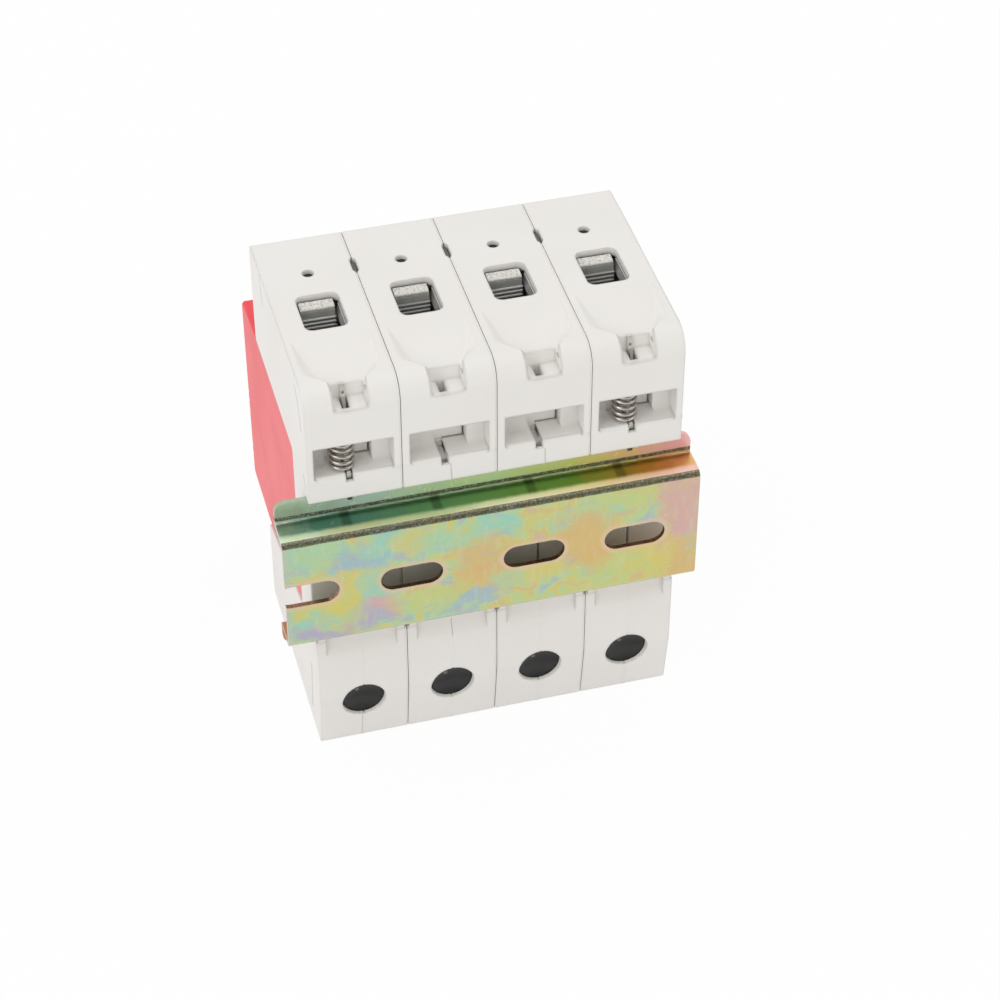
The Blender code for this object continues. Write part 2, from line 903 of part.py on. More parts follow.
# Cartridge: hollow red housing, open to the rear, with carrier, blades, element and lens
cart_step = body_depth + gap
cartridge_top_front = cart_top - cartridge_top_drop
cart_half = half_pole - cartridge_side_gap
cartridge = extruded(
    "cartridge",
    "X",
    [
        (cart_rear, cart_low_rear, corner_bend),
        (cart_step, cart_low_front, cartridge_bend),
        (cartridge_front, cart_low_front, front_bend),
        (cartridge_front, cartridge_top_front, front_bend),
        (cart_step, cart_top, cartridge_bend),
        (cart_rear, cart_top, corner_bend),
    ],
    (-cart_half, cart_half),
)
soften_sides(cartridge, edge_break, cart_half)
cartridge = tool("cartridge_softened", baked(cartridge))
cart_room = cart_half - cartridge_wall
cart_inside = extruded(
    "cartridge_inside",
    "X",
    [
        (cart_rear - wall, cart_low_rear + cartridge_wall + lower_slope * wall, 0),
        (cart_step, cart_low_front + cartridge_wall, 0),
        (cartridge_front - cartridge_wall, cart_low_front + cartridge_wall, 0),
        (cartridge_front - cartridge_wall, cartridge_top_front - cartridge_wall, 0),
        (cart_step, cart_top - cartridge_wall, 0),
        (cart_rear - wall, cart_top - cartridge_wall, 0),
    ],
    (-cart_room, cart_room),
)
lens_centre = cartridge_top_front - lens_drop
lens_hole = box(
    "lens_hole",
    (-lens_width / 2 - gap, lens_width / 2 + gap),
    (cartridge_front - 2 * cartridge_wall, cartridge_front + wall),
    (lens_centre - lens_height / 2 - gap, lens_centre + lens_height / 2 + gap),
)
combine(cartridge, "DIFFERENCE", cart_inside, lens_hole)
for number in range(3):
    for label, height in (
        ("low", cart_low_front + front_bend + grip_pitch * (number + 0.5)),
        ("mid", cart_low_front + front_bend + grip_pitch * (number + 6.5)),
    ):
        grip = box(
            "grip_" + label + str(number + 1),
            (-far, far),
            (cartridge_front - grip_depth, cartridge_front + wall),
            (height - grip_pitch / 5, height + grip_pitch / 5),
        )
        combine(cartridge, "DIFFERENCE", grip)
cartridge_mesh = baked(cartridge)

carrier_rear = cart_rear + gap
carrier_front = carrier_rear + carrier_sheet
carrier = box(
    "carrier",
    (-cart_room + gap, cart_room - gap),
    (carrier_rear, carrier_front),
    (carrier_low, carrier_high),
)
element_rear = carrier_front + 2 * sliding_gap
blade_half = blade_sheet / 2
blades = []
for label, centre in (("low", middle - blade_centre), ("high", middle + blade_centre)):
    combine(
        carrier,
        "DIFFERENCE",
        box(
            "carrier_slit_" + label,
            (-blade_half - gap, blade_half + gap),
            (carrier_rear - wall, carrier_front + wall),
            (centre - blade_height / 2 - gap, centre + blade_height / 2 + gap),
        ),
    )
    blade = box(
        "blade_" + label,
        (-blade_half, blade_half),
        (leaf_rear + strip_sheet / 2, element_rear + blade_tail),
        (centre - blade_height / 2, centre + blade_height / 2),
    )
    soften(blade, blade_break)
    blades.append(tool("blade_softened_" + label, baked(blade)))
carrier_mesh = baked(carrier)

# The protective element is one potted block with its two blades.
element = box(
    "element",
    (-element_width / 2, element_width / 2),
    (element_rear, element_rear + element_depth),
    (middle - element_half, middle + element_half),
)
soften(element, element_break)
element = tool("element_softened", baked(element))
combine(element, "UNION", *blades)
element_mesh = baked(element)

lens = box(
    "lens",
    (-lens_width / 2, lens_width / 2),
    (cartridge_front - 1.8 * cartridge_wall, cartridge_front - gap),
    (lens_centre - lens_height / 2, lens_centre + lens_height / 2),
)
lens_seat = cartridge_front - cartridge_wall - gap
lens_rim = box(
    "lens_rim",
    (-lens_width / 2 - lens_flange, lens_width / 2 + lens_flange),
    (lens_seat - lens_flange, lens_seat),
    (lens_centre - lens_height / 2 - lens_flange, lens_centre + lens_height / 2 + lens_flange),
)
combine(lens, "UNION", lens_rim)
lens_mesh = baked(lens)

# Rail: a folded top-hat section with slots, the first one open at the left end
outer_bend = rail_inner_bend + rail_sheet
web_half = rail_web / 2
flange_half = rail_width / 2
flange_tip = flange_half + rail_sheet
rail = extruded(
    "rail_section",
    "X",
    [
        (rail_set + rail_sheet, rail_height + flange_tip, 0),
        (rail_set, rail_height + flange_tip, 0),
        (rail_set, rail_height + web_half, rail_inner_bend),
        (rail_rear, rail_height + web_half, outer_bend),
        (rail_rear, rail_height - web_half, outer_bend),
        (rail_set, rail_height - web_half, rail_inner_bend),
        (rail_set, rail_height - flange_tip, 0),
        (rail_set + rail_sheet, rail_height - flange_tip, 0),
        (rail_set + rail_sheet, rail_height - web_half + rail_sheet, outer_bend),
        (rail_rear + rail_sheet, rail_height - web_half + rail_sheet, rail_inner_bend),
        (rail_rear + rail_sheet, rail_height + web_half - rail_sheet, rail_inner_bend),
        (rail_set + rail_sheet, rail_height + web_half - rail_sheet, outer_bend),
    ],
    (rail_left - wall, rail_right + wall),
    4,
)
# A rectangle with rounded corners trims the folded section to its length and width.
rail_trim = extruded(
    "rail_trim",
    "Y",
    [
        (rail_left, rail_height - flange_half, rail_corner),
        (rail_right, rail_height - flange_half, rail_corner),
        (rail_right, rail_height + flange_half, rail_corner),
        (rail_left, rail_height + flange_half, rail_corner),
    ],
    (rail_rear - wall, rail_set + rail_sheet + wall),
    5,
)
combine(rail, "INTERSECT", rail_trim)
slot_centre = rail_left + slot_first_centre
for number, step in enumerate((0, slot_near_pitch, slot_far_pitch, slot_near_pitch)):
    slot_centre += step
    slot_low = rail_height - slot_height / 2
    slot_high = rail_height + slot_height / 2
    slot_cut = extruded(
        "rail_slot_" + str(number + 1),
        "Y",
        [
            (slot_centre - slot_length / 2, slot_low, slot_height * 0.499),
            (slot_centre + slot_length / 2, slot_low, slot_height * 0.499),
            (slot_centre + slot_length / 2, slot_high, slot_height * 0.499),
            (slot_centre - slot_length / 2, slot_high, slot_height * 0.499),
        ],
        (rail_rear - wall, rail_rear + rail_sheet + wall),
        5,
    )
    combine(rail, "DIFFERENCE", slot_cut)
rail_mesh = baked(rail)

white = (0.78, 0.765, 0.74)
red = (0.62, 0.045, 0.055)
steel = (0.56, 0.55, 0.53)
for number, centre in enumerate(pole_centres):
    label = "_" + str(number + 1)
    here = (centre, 0, 0)
    place("base_housing" + label, housing_mesh, here, white, 0.45, 0.0)
    place("base_cover" + label, cover_mesh, here, white, 0.45, 0.0)
    place("upper_cage" + label, cage_mesh, here, steel, 0.35, 1.0)
    place("lower_cage" + label, mirrored(cage_mesh), here, steel, 0.35, 1.0)
    place("upper_screw" + label, screw_mesh, (centre, head_rear, screw_height), steel, 0.3, 1.0)
    place("lower_screw" + label, screw_mesh, (centre, head_rear, screw_inset), steel, 0.3, 1.0)
    place("upper_contact" + label, contact_mesh, here, (0.60, 0.58, 0.54), 0.4, 1.0)
    place("lower_contact" + label, mirrored(contact_mesh), here, (0.60, 0.58, 0.54), 0.4, 1.0)
    place("rear_plug" + label, plug_mesh, here, (0.02, 0.02, 0.02), 0.2, 0.0)
    place("cartridge_housing" + label, cartridge_mesh, here, red, 0.4, 0.0)
    place("cartridge_carrier" + label, carrier_mesh, here, (0.05, 0.05, 0.05), 0.5, 0.0)
    place("cartridge_element" + label, element_mesh, here, (0.10, 0.18, 0.40), 0.6, 0.0)
    place("cartridge_lens" + label, lens_mesh, here, (0.16, 0.55, 0.20), 0.2, 0.0)
    if number in latched_poles:
        place("rail_latch" + label, latch_mesh, here, (0.62, 0.60, 0.56), 0.35, 1.0)
        spring_place = (centre - spring_offset, spring_axis, seat_top)
        place("latch_spring" + label, coil_mesh, spring_place, (0.55, 0.53, 0.50), 0.25, 1.0)

place("rail", rail_mesh, (0, 0, 0), (0.62, 0.58, 0.32), 0.35, 0.9)
print("objects placed", sum(1 for made in parts.objects if made.type == "MESH"))
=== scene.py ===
import json
import math

import bmesh
import bpy
from mathutils import Matrix, Vector

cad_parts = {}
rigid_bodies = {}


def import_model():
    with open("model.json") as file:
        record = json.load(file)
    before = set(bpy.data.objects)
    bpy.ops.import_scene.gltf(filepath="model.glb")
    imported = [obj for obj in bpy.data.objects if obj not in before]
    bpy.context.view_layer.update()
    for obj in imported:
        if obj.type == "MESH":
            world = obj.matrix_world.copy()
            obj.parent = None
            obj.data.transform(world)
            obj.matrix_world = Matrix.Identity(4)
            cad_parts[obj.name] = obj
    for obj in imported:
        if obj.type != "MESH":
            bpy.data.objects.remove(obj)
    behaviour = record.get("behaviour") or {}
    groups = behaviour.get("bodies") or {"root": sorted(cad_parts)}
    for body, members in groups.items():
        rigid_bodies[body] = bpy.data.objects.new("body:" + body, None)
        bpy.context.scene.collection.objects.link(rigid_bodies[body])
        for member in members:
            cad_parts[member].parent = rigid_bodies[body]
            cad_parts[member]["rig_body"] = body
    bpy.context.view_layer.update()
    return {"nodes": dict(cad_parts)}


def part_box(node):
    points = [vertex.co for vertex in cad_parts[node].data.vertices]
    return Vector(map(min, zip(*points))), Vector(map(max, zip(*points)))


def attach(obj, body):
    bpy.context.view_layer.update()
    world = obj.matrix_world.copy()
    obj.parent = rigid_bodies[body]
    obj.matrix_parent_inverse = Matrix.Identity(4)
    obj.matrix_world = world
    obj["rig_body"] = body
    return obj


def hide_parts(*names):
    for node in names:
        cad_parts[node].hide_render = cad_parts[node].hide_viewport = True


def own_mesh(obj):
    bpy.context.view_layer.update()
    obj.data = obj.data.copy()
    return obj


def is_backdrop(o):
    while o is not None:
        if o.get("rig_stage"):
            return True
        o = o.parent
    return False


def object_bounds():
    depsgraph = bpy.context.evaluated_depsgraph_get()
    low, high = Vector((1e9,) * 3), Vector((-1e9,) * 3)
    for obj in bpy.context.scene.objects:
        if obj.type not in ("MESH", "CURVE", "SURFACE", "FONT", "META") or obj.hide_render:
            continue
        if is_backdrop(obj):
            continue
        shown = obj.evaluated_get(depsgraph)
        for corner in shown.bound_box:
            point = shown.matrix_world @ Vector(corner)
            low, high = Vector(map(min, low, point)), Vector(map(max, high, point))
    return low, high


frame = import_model()
mm = 0.001
nodes = frame["nodes"]
shift = Vector((1.75, -30.75, 0.0))        # from a pole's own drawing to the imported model, in mm
poleCentres = (-27.0, -9.0, 9.0, 27.0)
latchedPoles = (1, 4)
print("frame loaded:", len(nodes), "solids")


def spot(x, y, z):
    return (Vector((x, y, z)) + shift) * mm


# node boards for the finishes

class Wire:
    def __init__(self, board, socket):
        self.board = board
        self.socket = socket

    def sum(self, operation, first, second):
        return self.board.node("ShaderNodeMath", {"operation": operation}, {0: first, 1: second})

    def __add__(self, other):
        return self.sum("ADD", self, other)

    def __radd__(self, other):
        return self.sum("ADD", other, self)

    def __sub__(self, other):
        return self.sum("SUBTRACT", self, other)

    def __rsub__(self, other):
        return self.sum("SUBTRACT", other, self)

    def __mul__(self, other):
        return self.sum("MULTIPLY", self, other)

    def __rmul__(self, other):
        return self.sum("MULTIPLY", other, self)

    def __truediv__(self, other):
        return self.sum("DIVIDE", self, other)

    def __gt__(self, other):
        return self.sum("GREATER_THAN", self, other)

    def __lt__(self, other):
        return self.sum("LESS_THAN", self, other)

    def __abs__(self):
        return self.sum("ABSOLUTE", self, 0.0)


class Board:
    def __init__(self, name):
        self.material = bpy.data.materials.new(name)
        self.material.use_nodes = True
        self.tree = self.material.node_tree
        self.tree.nodes.clear()
        self.shader = self.tree.nodes.new("ShaderNodeBsdfPrincipled")
        self.output = self.tree.nodes.new("ShaderNodeOutputMaterial")
        self.tree.links.new(self.shader.outputs[0], self.output.inputs[0])

    def node(self, kind, settings, sockets, output=0):
        made = self.tree.nodes.new(kind)
        for key, value in settings.items():
            if key == "stops":
                ramp = made.color_ramp
                while len(ramp.elements) < len(value):
                    ramp.elements.new(1.0)
                for element, (place, colour) in zip(ramp.elements, value):
                    element.position = place
                    element.color = (*colour, 1.0)
            else:
                setattr(made, key, value)
        for key, value in sockets.items():
            self.feed(made.inputs[key], value)
        return Wire(self, made.outputs[output])

    def feed(self, socket, value):
        if isinstance(value, Wire):
            self.tree.links.new(value.socket, socket)
        elif hasattr(socket.default_value, "__len__") and len(socket.default_value) == 4 and len(value) == 3:
            socket.default_value = (*value, 1.0)
        else:
            socket.default_value = value

    def finish(self, **values):
        for key, value in values.items():
            self.feed(self.shader.inputs[key.replace("_", " ")], value)
        return self.material

    def where(self):
        return self.node("ShaderNodeTexCoord", {}, {}, "Object")

    def stretch(self, place, scale, turn=(0, 0, 0)):
        return self.node("ShaderNodeMapping", {}, {"Vector": place, "Scale": scale, "Rotation": turn})

    def axes(self, place):
        parts = self.tree.nodes.new("ShaderNodeSeparateXYZ")
        self.tree.links.new(place.socket, parts.inputs[0])
        return [Wire(self, parts.outputs[number]) for number in range(3)]

    def noise(self, place, scale, detail=2.0, rough=0.5, warp=0.0):
        return self.node(
            "ShaderNodeTexNoise", {},
            {"Vector": place, "Scale": scale, "Detail": detail, "Roughness": rough, "Distortion": warp},
        )

    def ramp(self, value, stops, mode="LINEAR"):
        made = self.node("ShaderNodeValToRGB", {"stops": stops}, {"Fac": value})
        made.socket.node.color_ramp.interpolation = mode
        return made

    def step(self, value, low, high):
        return self.node(
            "ShaderNodeMapRange", {"interpolation_type": "SMOOTHSTEP"},
            {"Value": value, "From Min": low, "From Max": high},
        )

    def blend(self, share, first, second, mode="MIX"):
        return self.node(
            "ShaderNodeMix", {"data_type": "RGBA", "blend_type": mode, "clamp_factor": True},
            {0: share, 6: first, 7: second}, 2,
        )

    def bump(self, height, strength, distance, normal=None):
        sockets = {"Height": height, "Strength": strength, "Distance": distance}
        if normal is not None:
            sockets["Normal"] = normal
        return self.node("ShaderNodeBump", {}, sockets)

    def softEdge(self, radius):
        return self.node("ShaderNodeBevel", {"samples": 6}, {"Radius": radius})


# moulded plastics

plasticSettings = {
    "white": (0.83, 0.812, 0.785), "warm": (0.815, 0.795, 0.762), "edge": 0.0006, "funnelEdge": 0.00015, "neckEdge": 0.0017, "rough": 0.42,
    "sideGrooves": (
        ((7.0, 87.2), (4.4, 84.2)), ((4.4, 84.2), (3.2, 79.9)), ((3.3, 69.3), (2.0, 66.8)), ((7.7, 17.1), (9.7, 3.8)),
        ((39.1, 89.2), (37.4, 83.6)),
    ),
    "boreHeight": 11.4, "boreRadius": 4.4,
    "rearLines": (
        ((-27.35, 8.2), (-27.5, 0.0)), ((-8.91, 28.3), (-8.96, 24.6)), ((-8.88, 68.9), (-8.7, 64.8)), ((9.17, 68.6), (9.27, 64.5)),
    ),
}


def mouldedWhite(name, edge):
    board = Board(name)
    place = board.where()
    x, y, z = board.axes(place)
    cloud = board.noise(place, 55.0, 3.0)
    grain = board.noise(place, 5200.0, 2.0, 0.6)
    speck = board.step(board.noise(place, 1700.0, 1.0), 0.77, 0.82)
    scuff = board.step(board.noise(board.stretch(place, (260.0, 260.0, 1500.0), (0.5, 0.3, 0.9)), 1.0, 3.0), 0.71, 0.78)
    # shallow moulding lines on the outer side face of the first pole, darkened with painted shade in the grooves

    def drawn(lines, across, axis, inner, outer):
        found = None
        for first, last in lines:
            first, last = (spot(*((one, 0, two) if axis == 0 else (0, one, two))) for one, two in (first, last))
            run = last - first
            share = ((across - first[axis]) * run[axis] + (z - first.z) * run.z) / run.length_squared
            share = board.node("ShaderNodeClamp", {}, {"Value": share})
            aside = across - first[axis] - share * run[axis]
            above = z - first.z - share * run.z
            away = board.node("ShaderNodeMath", {"operation": "SQRT"}, {0: aside * aside + above * above})
            near = 1.0 - board.step(away, inner, outer)
            found = near if found is None else board.node("ShaderNodeMath", {"operation": "MAXIMUM"}, {0: found, 1: near})
        return found

    line = drawn(plasticSettings["sideGrooves"], y, 1, 0.00022, 0.00055) * (x < spot(-35.6, 0, 0).x)
    seam = drawn(plasticSettings["rearLines"], x, 0, 0.00005, 0.00016) * (y < spot(0, 3.4, 0).y)
    line = board.node("ShaderNodeMath", {"operation": "MAXIMUM"}, {0: line, 1: seam})
    tone = board.blend(board.step(cloud, 0.3, 0.7), plasticSettings["white"], plasticSettings["warm"])
    tone = board.blend(speck * 0.22, tone, (0.55, 0.52, 0.47))
    tone = board.blend(scuff * 0.30, tone, (0.88, 0.87, 0.85))
    # painted shade in the side grooves; the rear seam lines take the same dark tone as dark joints
    tone = board.blend(line * 0.60, tone, (0.40, 0.39, 0.36))
    height = grain * 0.6 + cloud * 0.4 - line * 2.0
    aside = abs(board.node("ShaderNodeMath", {"operation": "MODULO"}, {0: x - spot(-36.0, 0, 0).x, 1: 0.018}) - 0.009)
    # the bores of the lower rear holes are paler: painted light on their walls
    over = z - plasticSettings["boreHeight"] * mm
    away = board.node("ShaderNodeMath", {"operation": "SQRT"}, {0: aside * aside + over * over})
    paintedBoreLight = (away < (plasticSettings["boreRadius"] + 0.04) * mm) * (y < spot(0, 6.0, 0).y)
    tone = board.blend(paintedBoreLight, tone, (0.97, 0.94, 0.88))
    # crisp rims under the funnels' sloping sides, wide soft edges in their necks
    funnel = (aside < 0.0081) * (y < spot(0, 17.2, 0).y) * (z > 0.0846)
    neck = funnel * (aside < 0.0036)
    reach = edge + funnel * (plasticSettings["funnelEdge"] - edge) + neck * (plasticSettings["neckEdge"] - plasticSettings["funnelEdge"])
    soft = board.softEdge(reach) if edge else None
    return board.finish(
        Base_Color=tone, Roughness=plasticSettings["rough"] + cloud * 0.1 - scuff * 0.12,
        Normal=board.bump(height, 0.10, 0.00006, soft),
        IOR=1.5,
    )


redSettings = {"red": (0.88, 0.034, 0.050), "deep": (0.83, 0.028, 0.042), "rough": 0.32}


def mouldedRed():
    board = Board("mouldedRed")
    place = board.where()
    cloud = board.noise(place, 70.0, 3.0)
    grain = board.noise(place, 4800.0, 2.0, 0.6)
    scuff = board.step(board.noise(board.stretch(place, (300.0, 300.0, 1700.0), (0.9, 0.2, 0.4)), 1.0, 3.0), 0.70, 0.78)
    tone = board.blend(board.step(cloud, 0.3, 0.7), redSettings["red"], redSettings["deep"])
    tone = board.blend(scuff * 0.25, tone, (0.72, 0.16, 0.17))
    return board.finish(
        Base_Color=tone, Roughness=redSettings["rough"] + cloud * 0.10,
        Normal=board.bump(grain, 0.08, 0.00004, board.softEdge(0.0003)), IOR=1.5,
    )


def glossBlack(name, colour, rough, index=1.5):
    board = Board(name)
    place = board.where()
    cloud = board.noise(place, 400.0, 3.0)
    x, y, z = board.axes(place)
    dust = board.step(board.noise(place, 2600.0, 1.0), 0.70, 0.78)
    tone = board.blend(dust * 0.22, colour, (0.20, 0.18, 0.16))
    # painted sheen: a paler band near 9.8 mm height, across the plugs
    tone = board.blend((1.0 - board.step(abs(z + cloud * 0.0008 - 0.0098), 0.0003, 0.0017)) * 0.5, tone, tuple(0.02 + 2.0 * one for one in colour))
    return board.finish(
        Base_Color=tone, Roughness=rough + cloud * 0.14, IOR=index,
        Normal=board.bump(cloud, 0.10, 0.0001, board.softEdge(0.00025)),
    )


def lensGreen():
    board = Board("lensGreen")
    place = board.where()
    cloud = board.noise(place, 900.0, 2.0)
    tone = board.blend(cloud, (0.06, 0.36, 0.10), (0.09, 0.46, 0.14))
    return board.finish(Base_Color=tone, Roughness=0.12 + cloud * 0.06, Coat_Weight=0.6, IOR=1.49)


# metals

def platedSteel(name, light, dark, rough, metal=1.0, lines=(1.0, 14.0, 1.0), clawShadeHeight=0.0):
    board = Board(name)
    place = board.where()
    cloud = board.noise(place, 320.0, 3.0)
    drawn = board.noise(board.stretch(place, tuple(900.0 * one for one in lines)), 1.0, 2.0)
    tone = board.blend(board.step(cloud, 0.3, 0.7), light, dark)
    tone = board.blend(board.step(drawn, 0.55, 0.8) * 0.35, tone, tuple(0.6 * one for one in dark))
    if clawShadeHeight:                                                # painted shade: the end that bears on the rail is painted near-black
        x, y, z = board.axes(place)
        tone = board.blend((z < clawShadeHeight) * 0.9, tone, (0.03, 0.03, 0.028))
    return board.finish(
        Base_Color=tone, Metallic=metal, Roughness=rough + cloud * 0.12,
        Normal=board.bump(drawn, 0.10, 0.00005, board.softEdge(0.0002)),
    )


stripSettings = {"face": (0.60, 0.60, 0.57), "shade": (0.50, 0.50, 0.48), "sheared": (0.70, 0.69, 0.63)}


def tinnedStrip():
    board = Board("tinnedStrip")
    place = board.where()
    x, y, z = board.axes(place)
    cloud = board.noise(place, 350.0, 3.0)
    pits = board.noise(place, 1900.0, 3.0, 0.7)
    edge = abs(z - 0.045) + (pits - 0.5) * 0.0009
    cut = board.step(edge, 0.04345, 0.04365)                # the sheared ends of the strip are rough and bright
    burr = cut * (1.0 - board.step(edge, 0.0436, 0.0439))   # with a dark broken line under them
    tone = board.blend(board.step(cloud, 0.3, 0.7), stripSettings["face"], stripSettings["shade"])
    tone = board.blend(cut, tone, stripSettings["sheared"])
    tone = board.blend(cut * board.step(pits, 0.52, 0.64) * 0.6, tone, (0.34, 0.33, 0.30))
    # painted glints: white spots on the sheared ends
    tone = board.blend(cut * (1.0 - board.step(pits, 0.36, 0.46)) * 0.8, tone, (0.94, 0.93, 0.89))
    tone = board.blend(burr * 0.8, tone, (0.10, 0.10, 0.09))
    # painted shade: the sheared ends turn near black along their back edge
    rear = y + (pits - 0.5) * 0.0002
    tone = board.blend(cut * board.step(rear, spot(0, 28.82, 0).y, spot(0, 28.95, 0).y) * 0.92, tone, (0.03, 0.03, 0.03))
    # painted light on the ribs: a painted highlight on each crest and painted shade between them
    ribbed = (1.0 - cut) * board.step(abs(z - 0.045), 0.0376, 0.0379) * (1.0 - board.step(abs(z - 0.045), 0.04172, 0.04180)) \
        * (y < spot(0, 26.53, 0).y)
    crestHighlight = 1.0 - board.step(y, spot(0, 26.31, 0).y, spot(0, 26.40, 0).y)
    tone = board.blend(ribbed * crestHighlight, tone, (0.86, 0.87, 0.85))
    tone = board.blend(ribbed * (1.0 - crestHighlight) * 0.65, tone, (0.14, 0.14, 0.135))
    return board.finish(
        Base_Color=tone, Metallic=0.45 - cut * 0.30, Roughness=0.30 + cut * 0.32 + cloud * 0.1,
        Normal=board.bump(pits * cut + cloud * 0.06, 0.7, 0.00016, board.softEdge(0.00018)),
    )


railSettings = {
    "left": -40.25, "right": 40.25, "middle": 47.0, "webHalf": 13.0, "webRear": -35.25, "flange": -28.75, "bend": 1.4,
    "slots": (-35.95, -16.05, 7.75, 27.65), "slotHalf": 3.4, "slotRadius": 2.6,
    "reflectedBars": (-29.07, -11.81, 6.43, 23.82),
    "base": (0.53, 0.60, 0.31),
    # interference colours of the chromate film, in their order
    "film": {
        "mauve": (0.48, 0.42, 0.56), "blue": (0.35, 0.50, 0.60), "teal": (0.32, 0.63, 0.52), "green": (0.41, 0.64, 0.41),
        "lime": (0.55, 0.62, 0.25), "yellow": (0.68, 0.58, 0.17), "orange": (0.70, 0.47, 0.20), "rose": (0.68, 0.42, 0.41),
    },
    "rainbow": (
        (0.30, "mauve"), (0.37, "blue"), (0.44, "green"), (0.51, "lime"), (0.58, "yellow"), (0.64, "orange"), (0.71, "rose"),
    ),
    # larger patches of one colour on the web: place along and up, half sizes
    "patches": (
        ("blue", -28.5, 52.5, 4.5, 3.0), ("teal", -21.0, 56.5, 5.0, 2.5), ("green", -37.0, 57.0, 4.5, 3.5),
        ("yellow", -29.0, 45.5, 4.5, 3.5), ("teal", -24.0, 44.0, 2.5, 3.5), ("mauve", -28.0, 39.5, 6.5, 2.5),
        ("rose", -22.0, 41.0, 3.0, 2.0), ("yellow", -17.5, 55.5, 3.5, 2.0), ("green", -10.5, 54.5, 5.5, 2.0),
        ("teal", -2.0, 56.0, 3.5, 2.0), ("orange", -4.5, 48.5, 4.0, 5.0), ("orange", -3.5, 42.5, 6.0, 2.5),
        ("lime", -13.0, 41.0, 6.5, 2.5), ("blue", -5.5, 39.0, 4.5, 1.5), ("green", 2.5, 42.0, 3.0, 2.0),
        ("yellow", 7.5, 42.5, 4.5, 2.0), ("green", 15.5, 53.5, 4.5, 2.0), ("teal", 22.5, 54.0, 2.0, 1.0),
        ("orange", 15.5, 49.0, 5.5, 4.5), ("lime", 24.0, 56.5, 7.0, 2.5), ("rose", 35.0, 50.5, 4.5, 8.5),
        ("yellow", 29.0, 41.5, 5.5, 3.5), ("lime", 21.0, 40.0, 5.5, 2.5), ("orange", 36.5, 37.5, 3.0, 4.0),
        ("orange", 18.5, 43.0, 3.0, 3.0), ("lime", -34.0, 41.5, 5.0, 3.5), ("yellow", -34.5, 43.5, 4.0, 1.0),
        ("teal", -37.5, 39.0, 3.0, 1.5), ("mauve", -36.0, 35.5, 5.0, 1.0),
    ),
    # the film on the folds, from the left end to the right; partly film colour and partly painted reflection, bright on
    # the flanges and dark on the walls
    "flangeFilmAndReflection": (
        (0.00, (0.36, 0.46, 0.30)), (0.20, (0.52, 0.68, 0.57)), (0.48, (0.62, 0.80, 0.41)), (0.72, (0.68, 0.72, 0.22)),
        (0.84, (0.88, 0.63, 0.27)), (0.96, (0.90, 0.48, 0.46)),
    ),
    "paleFilmHighlight": (
        (0.00, (0.71, 0.87, 0.61)), (0.20, (0.66, 0.67, 0.34)), (0.36, (0.60, 0.70, 0.38)), (0.55, (0.94, 0.91, 0.59)),
        (0.78, (0.95, 0.80, 0.42)), (1.00, (0.94, 0.56, 0.50)),
    ),
    "wallFilmAndShade": (
        (0.00, (0.62, 0.72, 0.60)), (0.08, (0.19, 0.40, 0.34)), (0.45, (0.24, 0.42, 0.22)), (0.72, (0.25, 0.44, 0.14)),
        (0.90, (0.58, 0.38, 0.08)), (1.00, (0.82, 0.48, 0.20)),
    ),
    # heights above the middle: where the bright flange starts, its dark lower line of painted shade and the pale line
    # of painted highlight under that
    "flangeFrom": 13.95, "darkLine": (13.42, 14.24), "paleLineHighlight": (13.10, 13.38),
}


